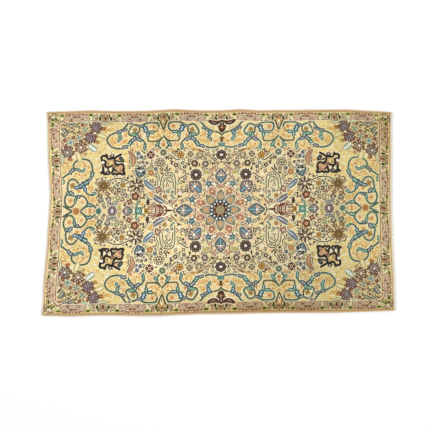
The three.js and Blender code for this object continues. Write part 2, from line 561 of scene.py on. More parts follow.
    def shield(
        self, x: float, y: float, length: float, breadth: float, turn: float, tones: Tones, foot: Tones
    ) -> None:
        """Draws a shield-shaped palmette: a veined body with a bright pointed foot.

        Args:
            x: Place of its middle along the rug.
            y: Place of its middle across it.
            length: Half its length.
            breadth: Half its breadth.
            turn: Where its foot points, in degrees.
            tones: Its dyes.
            foot: The foot's dyes.
        """
        for grow, dye in ((7.0, IVORY), (2.0, tones.outline), (-4.0, tones.body)):
            self.oval(x, y, length + grow, breadth + grow, turn, dye, 1.35)
        for k in (-2, -1, 0, 1, 2):
            reach = 0.8 * (length if k == 0 else breadth)
            vein = [(x, y), out_from(x, y, reach, turn + 180 + 38 * k)]
            self.stroke(vein, breadth * 0.3, tones.outline, drop_form, 3)
            self.stroke(vein, breadth * 0.2, tones.heart, drop_form)
        for k, way in enumerate(turns(9, turn + 20)):
            self.disc(*out_from(x, y, 0.5 * breadth, way), breadth * 0.11, (PINK, SKY, IVORY)[k % 3])
        reaches, breadths = (1.04, 0.94, 0.8), (0.62, 0.4, 0.18)
        for far, width, dye in zip(reaches, breadths, foot):
            line = [out_from(x, y, r, turn) for r in (4, far * length)]
            self.stroke(line, breadth * width, dye, leaf_form)
        self.disc(*out_from(x, y, -6, turn), breadth * 0.18, tones.core)


@dataclass(frozen=True)
class Placing:
    """Where a motif that is drawn in its own axes goes on the chart."""

    x: float
    y: float
    along: Point
    inward: Point

    def at(self, s: float, t: float) -> Point:
        """Gives the place on the chart of a place in the motif's own axes.

        Args:
            s: Place along the motif.
            t: Place in from its foot.

        Returns:
            The place on the chart.
        """
        return (
            self.x + s * self.along[0] + t * self.inward[0],
            self.y + s * self.along[1] + t * self.inward[1],
        )

    def path(self, *points: Point) -> list[Point]:
        """Gives the places on the chart of a row of the motif's own places."""
        return [self.at(s, t) for s, t in points]


VINE = Tones(PINE, OLIVE, SEA, SEA)
BROWN_VINE = Tones(OLIVE, TAN, OLIVE, OLIVE)
GREY_VINE = Tones(PINE, SLATE, SAGE, SAGE)
TEAL_LEAF = Tones(PINE, TEAL, MINT, WHITE)
BLUE_LEAF = Tones(NAVY, BLUE, SKY, WHITE)
NAVY_LEAF = Tones(NAVY, SLATE, SKY, WHITE)
GREY_LEAF = Tones(NAVY, SLATE, LILAC, WHITE)
GREEN_LEAF = Tones(PINE, SEA, SAGE, MINT)
ORANGE_BUD = Tones(GOLD, PEACH, AMBER, RUST)
GOLD_BUD = Tones(OLIVE, GOLD, AMBER, COCOA)
BROWN_FLOWER = Tones(COCOA, TAN, IVORY, UMBER)
DARK_FLOWER = Tones(UMBER, COCOA, IVORY, COCOA)
PLUM_FLOWER = Tones(PLUM, MAUVE, IVORY, PLUM)
STONE_FLOWER = Tones(COCOA, STONE, IVORY, UMBER)
GOLD_FLOWER = Tones(COCOA, GOLD, AMBER, COCOA)
OLIVE_FLOWER = Tones(OLIVE, LIME, IVORY, MOSS)
ROSE_FLOWER = Tones(BRICK, ROSE, IVORY, BRICK)
MAROON_FLOWER = Tones(MAROON, ROSE, IVORY, MAROON)
BRICK_FLOWER = Tones(COCOA, BRICK, PEACH, UMBER)
SLATE_FLOWER = Tones(NAVY, SLATE, LILAC, NAVY)
STONE_ROSETTE = Tones(UMBER, SAGE, WHITE, OLIVE)
MAUVE_ROSETTE = Tones(PLUM, MAUVE, LILAC, WHITE)
UMBER_ROSETTE = Tones(UMBER, PLUM, MAUVE, WHITE)
PLUM_DROP = Tones(IVORY, PLUM, UMBER, MAROON)
OLIVE_LINE = Tones(OLIVE, SAGE, SAGE, SAGE)
BROWN_LINE = Tones(UMBER, TAN, TAN, TAN)
BLUE_WING = Tones(SLATE, BLUE, LILAC, WHITE)
GOLD_WING = Tones(AMBER, GOLD, GOLD, LIME)
LIME_WING = Tones(OLIVE, LIME, GOLD, GOLD)
BROWN_WING = Tones(COCOA, ROSE, TAN, PEACH)
RUST_WING = Tones(MAROON, RUST, PEACH, PEACH)


class Blade(NamedTuple):
    """One leaf or stem: its breadth, its dyes and its middle line."""

    breadth: float
    tones: Tones
    points: tuple[Point, ...]


class SpotForm(Enum):
    """The forms of a single flower."""

    ROSETTE = 1
    FLORET = 2
    STAR = 3
    DISC = 4
    DROP = 5


ROSETTE, FLORET, STAR, DISC, DROP = SpotForm


class Spot(NamedTuple):
    """One flower: its form, place, size, petals, dyes and turn."""

    form: SpotForm
    x: float
    y: float
    size: float
    petals: int
    tones: Tones
    turn: float = 0.0


class Cloud(NamedTuple):
    """One mottled patch of gold: its place, its half length and breadth, and its turn."""

    x: float
    y: float
    long: float
    short: float
    turn: float = 0.0


class ScrollUnit(NamedTuple):
    """The parts of one run of scrollwork, in its own axes."""

    stems: tuple[Blade, ...]
    leaves: tuple[Blade, ...]
    spots: tuple[Spot, ...]
    clouds: tuple[Cloud, ...]


TOP_MIDDLE = ScrollUnit(
    stems=(
        Blade(6.0, VINE, ((0, 62), (9, 38), (22, 2))),
        Blade(5.5, VINE, ((36, 24), (46, 14), (84, 10), (120, 14), (138, 25), (156, 38))),
        Blade(5.5, VINE, ((44, 16), (34, 30), (35, 52), (46, 68), (66, 76), (84, 78))),
        Blade(
            5.0, BROWN_VINE,
            ((106, 92), (109, 118), (104, 140), (77, 143), (48, 142), (22, 130), (0, 106)),
        ),
        Blade(5.0, VINE, ((0, 109), (22, 136), (36, 158), (32, 180), (3, 212))),
        Blade(
            5.5, GREY_VINE,
            ((170, 33), (194, 23), (214, 26), (228, 44), (242, 68), (239, 90), (222, 101)),
        ),
        Blade(4.5, Tones(COCOA, OLIVE, OLIVE, OLIVE), ((166, 42), (167, 60), (172, 78), (182, 88))),
        Blade(4.5, VINE, ((146, 130), (130, 150), (122, 166), (126, 184))),
    ),
    leaves=(
        Blade(23, BLUE_LEAF, ((134, 32), (126, 56), (116, 80))),
        Blade(16, TEAL_LEAF, ((62, 78), (82, 79), (104, 76))),
        Blade(15, TEAL_LEAF, ((112, 78), (106, 94), (110, 116))),
        Blade(13, NAVY_LEAF, ((136, 26), (156, 36), (176, 30))),
        Blade(20, TEAL_LEAF, ((196, 84), (184, 100), (182, 122))),
        Blade(17, GREEN_LEAF, ((190, 98), (208, 90), (226, 96))),
        Blade(17, NAVY_LEAF, ((186, 114), (166, 131), (142, 130))),
        Blade(14, TEAL_LEAF, ((124, 160), (130, 180), (128, 206))),
        Blade(19, NAVY_LEAF, ((190, 114), (210, 130), (228, 146))),
        Blade(19, TEAL_LEAF, ((222, 140), (234, 162), (250, 176))),
        Blade(15, NAVY_LEAF, ((248, 170), (270, 178), (294, 181))),
        Blade(15, TEAL_LEAF, ((28, 146), (38, 162), (56, 184))),
    ),
    spots=(
        Spot(FLORET, 66, 42, 20, 5, ORANGE_BUD, 10),
        Spot(FLORET, 196, 62, 19, 4, GOLD_BUD, 20),
        Spot(DROP, 157, 100, 20, 0, Tones(IVORY, PEACH, AMBER, AMBER), 90),
        Spot(FLORET, 0, 146, 13, 4, ORANGE_BUD),
        Spot(FLORET, 0, 170, 15, 4, Tones(AMBER, GOLD, AMBER, COCOA), 45),
        Spot(ROSETTE, 0, 223, 25, 7, Tones(PINE, SAGE, SLATE, IVORY)),
    ),
    clouds=(
        Cloud(0, 84, 50, 30, 0), Cloud(54, 116, 32, 18, 0), Cloud(66, 44, 30, 18, 0),
        Cloud(80, 170, 24, 16, 10), Cloud(176, 164, 26, 18, 30), Cloud(268, 112, 22, 30, 0),
        Cloud(285, 145, 30, 14, 20), Cloud(350, 150, 34, 14, -10), Cloud(345, 60, 30, 16, 0),
        Cloud(214, 200, 22, 14, 0), Cloud(150, 60, 10, 18, 0), Cloud(40, 202, 22, 12, 0),
    ),  # fmt: skip
)

CENTRE_END = ScrollUnit(
    stems=(
        Blade(5.0, VINE, ((236, 0), (258, 9), (277, 31), (288, 48))),
        Blade(4.5, VINE, ((324, 68), (352, 74), (378, 84), (402, 96))),
        Blade(4.5, GREY_VINE, ((296, 181), (318, 188), (350, 186), (380, 180), (402, 176))),
    ),
    leaves=(
        Blade(15, GREY_LEAF, ((262, 50), (286, 48), (304, 62))),
        Blade(16, NAVY_LEAF, ((290, 52), (304, 65), (328, 68))),
        Blade(18, BLUE_LEAF, ((330, 62), (318, 84), (314, 110))),
        Blade(14, TEAL_LEAF, ((300, 122), (314, 112), (332, 144))),
    ),
    spots=(),
    clouds=(Cloud(366, 130, 20, 16, 0), Cloud(300, 92, 16, 20, 0)),
)

CORNER_END = ScrollUnit(
    stems=(
        Blade(5.0, VINE, ((240, 4), (256, 28), (276, 52))),
        Blade(
            5.0, GREY_VINE,
            (
                (318, 74), (346, 86), (370, 98), (384, 116), (390, 138), (378, 160), (358, 181),
                (330, 191), (296, 194),
            ),
        ),
    ),
    leaves=(
        Blade(13, GREY_LEAF, ((248, 56), (268, 60), (290, 68))),
        Blade(16, GREY_LEAF, ((284, 66), (304, 70), (326, 78))),
        Blade(16, GREEN_LEAF, ((308, 76), (304, 92), (298, 116))),
        Blade(13, TEAL_LEAF, ((284, 122), (302, 122), (314, 148))),
        Blade(17, GREY_LEAF, ((288, 186), (266, 182), (244, 174))),
    ),
    spots=(
        Spot(FLORET, 222, 11, 15, 5, Tones(OLIVE, LILAC, STONE, MAUVE)),
    ),
    clouds=(Cloud(330, 130, 30, 24, 0), Cloud(420, 60, 34, 22, 0)),
)

SIDE_RUN = ScrollUnit(
    stems=(
        Blade(
            5.0, VINE,
            (
                (1030, 304), (1028, 326), (1004, 350), (960, 362), (922, 352), (904, 328),
                (898, 292), (898, 262),
            ),
        ),
        Blade(5.0, VINE, ((1106, 208), (1112, 230), (1084, 252), (1056, 270), (1042, 292))),
        Blade(
            5.5, GREY_VINE,
            (
                (1003, 198), (1018, 216), (1042, 224), (1062, 214), (1074, 196), (1079, 170),
                (1080, 146), (1068, 128),
            ),
        ),
        Blade(
            5.5, GREY_VINE,
            (
                (1082, 124), (1098, 98), (1099, 68), (1090, 42), (1068, 28), (1046, 32),
                (1030, 50), (1021, 66),
            ),
        ),
        Blade(
            5.0, VINE, ((1012, 102), (990, 108), (966, 102), (946, 80), (938, 56), (948, 36), (964, 24))
        ),
        Blade(5.0, VINE, ((964, 168), (954, 148), (946, 126), (926, 112), (904, 108), (890, 116))),
        Blade(5.0, VINE, ((1106, 36), (1072, 14), (1036, 0))),
        Blade(5.0, VINE, ((990, 0), (964, 20), (940, 36), (920, 44), (894, 36), (868, 12), (852, 0))),
    ),
    leaves=(
        Blade(18, GREY_LEAF, ((1064, 262), (1044, 280), (1022, 300))),
        Blade(14, TEAL_LEAF, ((1022, 298), (998, 288), (976, 284))),
        Blade(12, GREEN_LEAF, ((986, 290), (966, 276), (948, 302))),
        Blade(18, TEAL_LEAF, ((898, 274), (900, 256), (910, 238))),
        Blade(14, NAVY_LEAF, ((906, 238), (918, 222), (932, 206))),
        Blade(23, TEAL_LEAF, ((928, 208), (952, 194), (974, 182))),
        Blade(23, BLUE_LEAF, ((960, 190), (986, 174), (1006, 168))),
        Blade(18, BLUE_LEAF, ((990, 172), (1010, 165), (1034, 162))),
        Blade(18, BLUE_LEAF, ((974, 178), (957, 154), (948, 132))),
        Blade(13, TEAL_LEAF, ((900, 106), (898, 122), (876, 120))),
        Blade(19, NAVY_LEAF, ((1068, 134), (1052, 124), (1038, 106))),
        Blade(14, TEAL_LEAF, ((1086, 134), (1076, 122), (1064, 112))),
        Blade(16, GREY_LEAF, ((1028, 104), (1008, 98), (986, 106))),
        Blade(15, TEAL_LEAF, ((1014, 98), (1025, 80), (1022, 58))),
        Blade(18, TEAL_LEAF, ((944, 42), (922, 43), (900, 34))),
        Blade(14, GREEN_LEAF, ((1108, 190), (1110, 206), (1098, 220))),
    ),
    spots=(
        Spot(FLORET, 1044, 178, 21, 4, GOLD_BUD, 30),
        Spot(FLORET, 1001, 141, 17, 5, ORANGE_BUD),
        Spot(FLORET, 1058, 74, 19, 5, ORANGE_BUD, 20),
        Spot(DISC, 975, 62, 22, 0, Tones(IVORY, PEACH, GOLD, AMBER)),
        Spot(FLORET, 975, 62, 13, 5, ORANGE_BUD),
        Spot(FLORET, 1016, 0, 24, 6, Tones(AMBER, AMBER, RUST, AMBER)),
        Spot(FLORET, 918, 8, 17, 4, ORANGE_BUD, 45),
        Spot(ROSETTE, 856, 2, 21, 6, Tones(PINE, SEA, TEAL, SLATE)),
    ),
    clouds=(
        Cloud(1084, 300, 22, 28, 0), Cloud(985, 322, 40, 18, 0), Cloud(926, 300, 14, 34, 0),
        Cloud(968, 252, 44, 18, 10), Cloud(930, 150, 24, 24, 0), Cloud(1086, 350, 22, 22, 0),
        Cloud(1040, 182, 26, 26, 0), Cloud(1016, 2, 40, 24, 0), Cloud(1058, 74, 24, 26, 0),
        Cloud(918, 84, 20, 22, 0), Cloud(915, 8, 34, 20, 0), Cloud(880, 60, 22, 16, 30),
    ),  # fmt: skip
)


@dataclass
class Arabesque:
    """The split-leaf scrollwork that stands on the border's inner line."""

    chart: Chart
    seed: int = 5
    fullness: float = 1.3

    def cloud(self, x: float, y: float, patch: Cloud, rng: np.random.Generator) -> None:
        """Draws a mottled patch of gold on the straw ground.

        Args:
            x: Its place along the rug.
            y: Its place across it.
            patch: Its size and turn.
            rng: Where its mottling comes from.
        """
        dyes = (GOLD, PEACH, GOLD, AMBER, IVORY, GOLD, PEACH)
        for _ in range(int(patch.long * patch.short / 14)):
            reach, angle = math.sqrt(rng.random()), rng.uniform(0, 2 * math.pi)
            u = 1.25 * patch.long * reach * math.cos(angle)
            v = 1.25 * patch.short * reach * math.sin(angle)
            px, py = out_from(*out_from(x, y, u, patch.turn), v, patch.turn + 90)
            tip = (px + rng.uniform(-10, 10), py + rng.uniform(-7, 7))
            dye = pick(rng, dyes)
            self.chart.stroke([(px, py), tip], rng.uniform(5, 10), dye, leaf_form)

    def node(self, path: Sequence[Point], breadth: float, tones: Tones) -> None:
        """Draws a lobed leaf on a stem: dark rim, bright body, and a white eye.

        Args:
            path: Its middle line.
            breadth: Its breadth.
            tones: Its dyes.
        """
        chart = self.chart
        line = chart.curve(path)
        lobes = []
        for share, side in ((0.22, 1), (0.3, -1), (0.72, 1), (0.66, -1)):
            i = int(share * (len(line) - 2))
            (x0, y0), (x1, y1) = line[i], line[i + 1]
            reach = math.hypot(x1 - x0, y1 - y0) or 1.0
            off = side * breadth * 0.36 / reach
            lobes.append((x0 - (y1 - y0) * off, y0 + (x1 - x0) * off))
        chart.stroke(path, breadth * 0.86, tones.outline, leaf_form, 5.5)
        for x, y in lobes:
            chart.disc(x, y, breadth * 0.27 + 1.6, tones.outline)
        chart.stroke(path, breadth * 0.62, tones.body, leaf_form)
        for x, y in lobes:
            chart.disc(x, y, breadth * 0.15, tones.body)
        chart.stroke(path, breadth * 0.12, tones.heart, leaf_form)
        for share in (0.34, 0.64):
            x, y = line[int(share * (len(line) - 1))]
            chart.disc(x, y, max(breadth * 0.16, 2.6), tones.core)

    def draw(self, unit: ScrollUnit, to: Placing) -> None:
        """Draws one run of scrollwork.

        Args:
            unit: Its parts.
            to: Where it goes on the chart.
        """
        chart = self.chart
        rng = np.random.default_rng(self.seed)
        for patch in unit.clouds:
            self.cloud(*to.at(patch.x, patch.y), patch, rng)
        stems = [(to.path(*stem.points), stem) for stem in unit.stems]
        leaves = [
            (to.path(*leaf.points), leaf._replace(breadth=leaf.breadth * self.fullness))
            for leaf in unit.leaves
        ]
        for path, stem in stems:
            chart.stroke(path, stem.breadth, IVORY, even, 16)
        for path, leaf in leaves:
            chart.stroke(path, leaf.breadth, IVORY, leaf_form, 16)
        for path, stem in stems:
            chart.stroke(path, stem.breadth, stem.tones.outline, even, 8.0)
        for path, stem in stems:
            chart.stroke(path, stem.breadth * 0.5, stem.tones.body, even)
            for x, y in chart.curve(path, 17)[1:-1]:
                chart.disc(x, y, 2.2, stem.tones.heart)
        for spot in unit.spots:
            x, y = to.at(spot.x, spot.y)
            put_spot(chart, spot._replace(x=x, y=y))
        for path, leaf in leaves:
            self.node(path, leaf.breadth, leaf.tones)


HALO = 5.0


def put_spot(chart: Chart, spot: Spot) -> None:
    """Draws one flower with a pale ring of ground round it.

    Args:
        chart: Where it is drawn.
        spot: The flower.
    """
    form, x, y, size, petals, tones, turn = spot
    if form is ROSETTE:
        chart.disc(x, y, size + HALO, IVORY)
        chart.rosette(x, y, size, petals, tones, turn)
        for way in turns(petals if size > 30 else 0, turn):
            chart.disc(*out_from(x, y, 0.68 * size, way), size * 0.1, tones.heart)
    elif form is FLORET:
        chart.scallop(x, y, size + HALO, petals, 0.2, turn, IVORY)
        chart.floret(x, y, size, petals, tones, turn)
    elif form is STAR:
        chart.star(x, y, size, petals, tones, turn)
    elif form is DISC:
        chart.discs(x, y, (size + 3.5, tones.outline), (size, tones.body), (size * 0.5, tones.heart))
    else:
        ends = [out_from(x, y, k * size, turn) for k in (1, -0.8)]
        chart.stroke(ends, size, tones.outline, drop_form, 8)
        chart.layers(ends, drop_form, (size, tones.body), (size * 0.4, tones.heart))


class CornerMotif(NamedTuple):
    """One flower of a corner piece: its place, size, turn and dyes."""

    x: float
    y: float
    size: float
    turn: float
    tones: Tones


@dataclass
class BorderBand:
    """The narrow border: cups between dark buds, green leaves, and clusters of rose curls."""

    chart: Chart
    side_line: float = 1120.0
    far_line: float = 629.0
    depth: float = 56.0
    speckles: int = 88

    def ground(self) -> None:
        """Fills the band, its inner guard line and the golden line along its rim."""
        chart = self.chart
        x, y = chart.middles()
        beyond = np.maximum(x - self.side_line, y - self.far_line)
        for start, dye in ((-7.0, IVORY), (-3.0, ROSE), (-1.0, COCOA), (2.0, ROSE), (5.0, CREAM)):
            chart.knots[beyond > start] = dye.number
        rim = np.minimum(chart.half_length - x, chart.half_width - y)
        for start, dye in ((9.0, CREAM), (5.5, TAN), (3.0, PEACH)):
            chart.knots[rim < start] = dye.number

    def speckle(self, to: Placing, start: float, end: float, dyes: Sequence[Dye]) -> None:
        """Fills a stretch with the small crossing figures of its ground.

        Args:
            to: The band's own axes.
            start: Where the stretch starts along the band.
            end: Where it ends.
            dyes: The figures' dyes.
        """
        rng = np.random.default_rng(int(abs(to.x) + 3 * abs(to.y) + start))
        count = int(self.speckles * abs(end - start) / 100)
        for _ in range(count):
            s, t = rng.uniform(start, end), rng.uniform(11, self.depth - 2)
            slant = rng.choice([-6.0, 6.0])
            dye = pick(rng, dyes)
            path = to.path((s, t), (s + slant, t + rng.uniform(3, 9)))
            self.chart.stroke(path, rng.uniform(4.0, 7.5), dye, leaf_form)

    def cluster(self, to: Placing, half: float) -> None:
        """Draws half a cluster: ringed curls at its end and small flowers in its middle.

        Args:
            to: The band's own axes.
            half: Where the cluster's middle is along the band.
        """
        chart = self.chart
        for s, t, share in ((half - 62, 37, 1.0), (half - 34, 22, 0.72), (half - 12, 44, 0.66)):
            for radius, dye in ((24, PINK), (19, BRICK), (15, IVORY), (10, MAROON), (6, IVORY)):
                chart.scallop(*to.at(s, t), radius * share, 5, 0.14, s, dye)
        for back, t, dye in (
            (46, 13, MAROON), (70, 14, BRICK), (22, 12, BRICK), (36, 46, MAROON), (16, 30, COCOA),
            (84, 34, ROSE),
        ):  # fmt: skip
            s = half - back
            chart.stroke(to.path((s - 8, t + 5), (s, t - 2), (s + 8, t + 5)), 5, dye, leaf_form, 2)
        chart.floret(*to.at(half, 22), 13, 5, ROSE_FLOWER)

    def cup(self, to: Placing) -> None:
        """Draws half a cup with its dark buds, at the start of the band's axis.

        Args:
            to: The band's own axes.
        """
        chart = self.chart
        wall = to.path((0, 11), (0, 54))
        chart.layers(wall, drop_form, (48, COCOA), (41, STONE), (30, ROSE), (18, TAN), (9, UMBER))
        chart.stroke(to.path((0, 16), (0, 30)), 7, PINK, leaf_form)
        chart.disc(*to.at(14, 50), 4, IVORY)
        for s, t, breadth, length in ((38, 42, 13, 12), (30, 21, 9, 7)):
            bud = to.path((s, t - length), (s, t + length))
            chart.layers(bud, leaf_form, (breadth + 7, LIME), (breadth + 2, COAL))
        chart.disc(*to.at(38, 43), 3, MOSS)
        chart.floret(*to.at(60, 42), 11, 4, BROWN_FLOWER)
        chart.floret(*to.at(57, 20), 9, 4, ROSE_FLOWER)

    def unit(self, to: Placing, half: float) -> None:
        """Draws half a repeat, from the middle of a cup to the middle of a cluster.

        Args:
            to: Where it goes, with its own axes along the border and in from its rim.
            half: Half the length of the repeat.
        """
        chart = self.chart
        mid = half * 0.5
        self.speckle(to, 4, half - 72, (UMBER, IVORY, TAN, WHITE, OLIVE, IVORY))
        self.speckle(to, half - 84, half, (MAROON, PINK, WHITE, PEACH, BRICK, IVORY))
        for back, ahead, breadth, dye in ((24, 22, 26, LIME), (15, 13, 14, MOSS), (7, 3, 4, COAL)):
            lift = 20 + (dye is LIME)
            leaf = to.path((mid - back, lift), (mid + ahead, lift - 1))
            chart.stroke(leaf, breadth, dye, leaf_form)
        chart.oval(*to.at(mid - 5, 44), 13, 7, 0 if to.along[0] else 90, IVORY)
        chart.disc(*to.at(mid - 12, 46), 4.5, COCOA)
        chart.discs(*to.at(mid + 14, 44), (5.5, COCOA), (2.2, LIME))
        self.cluster(to, half)
        self.cup(to)

    def corner(self) -> None:
        """Draws the corner where the two bands meet."""
        chart = self.chart
        for x, y, long, short, turn in (
            (1143, 646, 12, 8, 55), (1129, 637, 8, 5, 55), (1098, 669, 15, 6, 0), (1168, 609, 8, 14, 0),
        ):  # fmt: skip
            chart.ovals(x, y, turn, (long + 4, short + 4, LIME), (long, short, MOSS))
        for shift, dye in ((0, BRICK), (7, IVORY), (13, ROSE)):
            path = [(1136 - shift, 600), (1110 - shift, 628 - shift), (1078, 622 - shift)]
            chart.stroke(path, 5, dye)
        chart.floret(1168, 572, 12, 5, MAROON_FLOWER)
        chart.floret(1058, 668, 12, 5, MAROON_FLOWER)
        chart.oval(1166, 660, 16, 5, 45, IVORY)

    def draw(self) -> None:
        """Draws both bands of the quarter and their corner."""
        half_length, half_width = self.chart.half_length, self.chart.half_width
        self.ground()
        for cup in (0.0, 352.0):
            for way in (1, -1):
                self.unit(Placing(half_length, cup, (0, way), (-1.3, 0)), 176)
        self.unit(Placing(half_length, 700.0, (0, -1), (-1.3, 0)), 172)
        self.unit(Placing(1200.0, half_width, (-1, 0), (0, -1)), 200)
        for cup in (0.0, 400.0, 800.0):
            for way in (1, -1):
                self.unit(Placing(cup, half_width, (way, 0), (0, -1)), 200)
        self.corner()


@dataclass
class CornerPiece:
    """The quarter medallion of each corner: mauve palmettes, mint rosettes and leaf pairs."""

    chart: Chart
    palmettes: tuple[CornerMotif, ...] = (
        CornerMotif(866, 585, 37, 20, Tones(PLUM, MAUVE, LILAC, SLATE)),
        CornerMotif(906, 510, 37, -10, Tones(PLUM, MAUVE, LILAC, MAROON)),
        CornerMotif(972, 446, 37, -80, Tones(PLUM, STONE, PINK, WHITE)),
        CornerMotif(1066, 414, 38, -100, Tones(PLUM, STONE, LILAC, WHITE)),
    )
    rosettes: tuple[CornerMotif, ...] = (
        CornerMotif(942, 563, 26, 0, Tones(TAN, SAGE, SAGE, MINT)),
        CornerMotif(986, 514, 26, 20, Tones(STONE, STONE, IVORY, MINT)),
        CornerMotif(1045, 479, 27, 40, Tones(STONE, MINT, SKY, SKY)),
    )
    tails: tuple[CornerMotif, ...] = (
        CornerMotif(820, 574, 17, 180, Tones(COCOA, AMBER, AMBER, GOLD)),
        CornerMotif(860, 486, 18, 235, Tones(COCOA, GOLD, AMBER, COCOA)),
        CornerMotif(946, 403, 16, 250, Tones(COCOA, PEACH, AMBER, AMBER)),
        CornerMotif(1052, 370, 19, 265, Tones(BRICK, AMBER, PEACH, IVORY)),
    )

    def palmette(self, flower: CornerMotif) -> None:
        """Draws one round palmette with outlined petals and a toothed rust rim.

        Args:
            flower: Its place, size, turn and dyes.
        """
        chart = self.chart
        x, y, size, turn, tones = flower

        def spoke(way: float, near: float, far: float, breadth: float, dye: Dye) -> None:
            """Draws one petal, tooth or vein that points out from the middle."""
            path = [out_from(x, y, r * size, turn + way) for r in (near, far)]
            chart.stroke(path, breadth * size, dye, leaf_form)

        chart.disc(x, y, size * 1.24, IVORY)
        for k in range(12):
            reach = 1.42 if k % 3 == 0 else 1.24
            spoke(30 * k + 9 * (k % 2), 0.8, reach, 0.42, COCOA)
            spoke(30 * k + 9 * (k % 2), 0.8, reach - 0.08, 0.26, RUST)
        chart.disc(x, y, size * 0.9, tones.outline)
        for way in turns(9):
            spoke(way, 0.18, 1.06, 0.6, UMBER)
        for k, way in enumerate(turns(9)):
            spoke(way, 0.26, 0.96, 0.34, BRICK if k == 4 else tones.body)
            spoke(way, 0.56, 0.94, 0.17, tones.heart)
        chart.scallop(x, y, size * 0.42, 7, 0.2, turn, tones.outline)
        chart.scallop(x + 2, y - 2, size * 0.32, 5, 0.25, turn, tones.heart)
        chart.disc(x + 2, y - 2, size * 0.16, tones.core)

    def rosette(self, flower: CornerMotif) -> None:
        """Draws one pale round rosette.

        Args:
            flower: Its place, size, turn and dyes.
        """
        chart = self.chart
        x, y, size, turn, tones = flower
        chart.scallops(x, y, 8, 0.1, turn, (size + 5, RUST), (size + 2, IVORY))
        chart.scallop(x, y, size - 1, 8, 0.16, turn, OLIVE)
        for k, way in enumerate(turns(8, turn)):
            chart.disc(*out_from(x, y, 16, way), 5.4, tones.body if k % 2 else IVORY)
        chart.disc(x, y, 11.5, SLATE)
        for way in turns(5, turn):
            chart.disc(*out_from(x, y, 7, way), 3.4, tones.core)
        chart.disc(x, y, 4.0, PINE)

    def stems(self) -> None:
        """Draws the amber stems and the rust florets between the flowers."""
        chart = self.chart
        stems = (
            ((980, 612), (950, 596), (925, 602), (900, 604)), ((996, 560), (966, 540), (938, 534)),
            ((1030, 520), (1008, 494), (1002, 470)), ((1085, 505), (1080, 470), (1060, 452)),
            ((1015, 430), (1000, 476), (960, 500)), ((1100, 498), (1070, 512), (1034, 522), (1000, 552)),
        )  # fmt: skip
        for stem in stems:
            chart.stroke(stem, 8, AMBER, leaf_form, 3)
            chart.stroke(stem, 4, GOLD, leaf_form)
            for k, (x, y) in enumerate(chart.curve(stem, 11)):
                chart.disc(x, y, 4.4, (BRICK, COCOA, PEACH)[k % 3])
        florets = (
            (1026, 513, 16), (985, 551, 14), (960, 604, 16), (1086, 496, 17), (1035, 584, 12),
            (936, 533, 11), (1078, 462, 11), (1004, 470, 11), (905, 604, 12), (1110, 440, 12),
        )  # fmt: skip
        for x, y, radius in florets:
            chart.scallop(x, y, radius + 4, 4, 0.2, x, IVORY)
            chart.floret(x, y, radius, 4, Tones(COCOA, RUST, MAROON, PEACH), x)

    def leaves(self) -> None:
        """Draws the dark leaf pairs and the small green leaves at the corner's tip."""
        chart = self.chart
        pairs = (
            ((1076, 616), (1046, 602), (1020, 584)), ((1056, 592), (1036, 582), (1016, 568)),
            ((1104, 584), (1084, 560), (1068, 532)), ((1086, 582), (1072, 566), (1058, 546)),
            ((1040, 618), (1016, 606), (992, 588)), ((1106, 548), (1092, 528), (1080, 508)),
        )  # fmt: skip
        for k, points in enumerate(pairs):
            breadth = 15 if k % 2 == 0 else 12
            body, rib = (PINE, LILAC) if k % 2 else (NAVY, WHITE)
            chart.stroke(points, breadth, STRAW, leaf_form, 9)
            chart.stroke(points, breadth, COAL, leaf_form, 6)
            chart.layers(points, leaf_form, (breadth, body), (breadth * 0.3, rib))
        for points in (
            ((1076, 626), (1042, 632), (1000, 624)), ((1002, 606), (986, 616), (972, 626)),
            ((1114, 600), (1118, 566), (1114, 524)), ((1096, 620), (1088, 606), (1078, 598)),
            ((1052, 562), (1036, 558), (1020, 545)), ((1002, 600), (985, 592), (975, 580)),
            ((1000, 626), (960, 630), (920, 624)), ((1112, 522), (1116, 500), (1110, 482)),
        ):  # fmt: skip
            chart.stroke(points, 7, STRAW, leaf_form, 6)
            chart.stroke(points, 8, MOSS, leaf_form, 3)
            chart.stroke(points[:2], 2.4, SAGE)
        chart.floret(1108, 468, 17, 6, ROSE_FLOWER)
        chart.floret(1108, 611, 14, 5, ROSE_FLOWER)
        chart.ovals(926, 615, 8, (25, 10, OLIVE), (21, 6, MINT))

    def hanging_leaves(self) -> None:
        """Draws the three pale leaves that stand clear of the corner piece."""
        chart = self.chart
        pale = Tones(SAGE, STRAW, IVORY, IVORY)
        chart.leaf([(854, 534), (826, 525), (796, 512)], 30, pale, 7)
        chart.leaf([(996, 402), (988, 378), (980, 348)], 34, pale, 7)
        bold = [(918, 460), (892, 438), (866, 416)]
        chart.layers(bold, leaf_form, (50, IVORY), (41, PINE), (35, SAGE), (26, MINT), (20, WHITE))
        chart.oval(893, 441, 13, 4, 40, MINT)

    def draw(self) -> None:
        """Draws the corner piece."""
        chart = self.chart
        for x, y, r in (
            (960, 590, 62), (1010, 540, 84), (1066, 500, 62), (1085, 455, 40), (905, 605, 36),
        ):  # fmt: skip
            chart.scallop(x, y, r, 9, 0.12, x, CREAM)
        rng = np.random.default_rng(23)
        for _ in range(220):
            angle, reach = rng.uniform(0, 2 * math.pi), rng.uniform(0, 90)
            x, y = 1030 + reach * math.cos(angle), 556 + reach * math.sin(angle) * 0.9
            dye = pick(rng, (IVORY, OLIVE, TAN, COCOA, SAGE))
            chart.disc(x, y, rng.uniform(2, 5), dye)
        self.leaves()
        self.stems()
        for flower in self.rosettes:
            self.rosette(flower)
        for x, y, size, turn, tones in self.tails:
            for k in (-1, 0, 1):
                lobe = [(x, y), out_from(x, y, size, turn + 42 * k)]
                chart.stroke(lobe, 10, tones.outline, drop_form, 3)
                chart.stroke(lobe, 8, tones.body, drop_form)
            chart.disc(x, y, 5, tones.core)
        for flower in self.palmettes:
            self.palmette(flower)
        self.hanging_leaves()


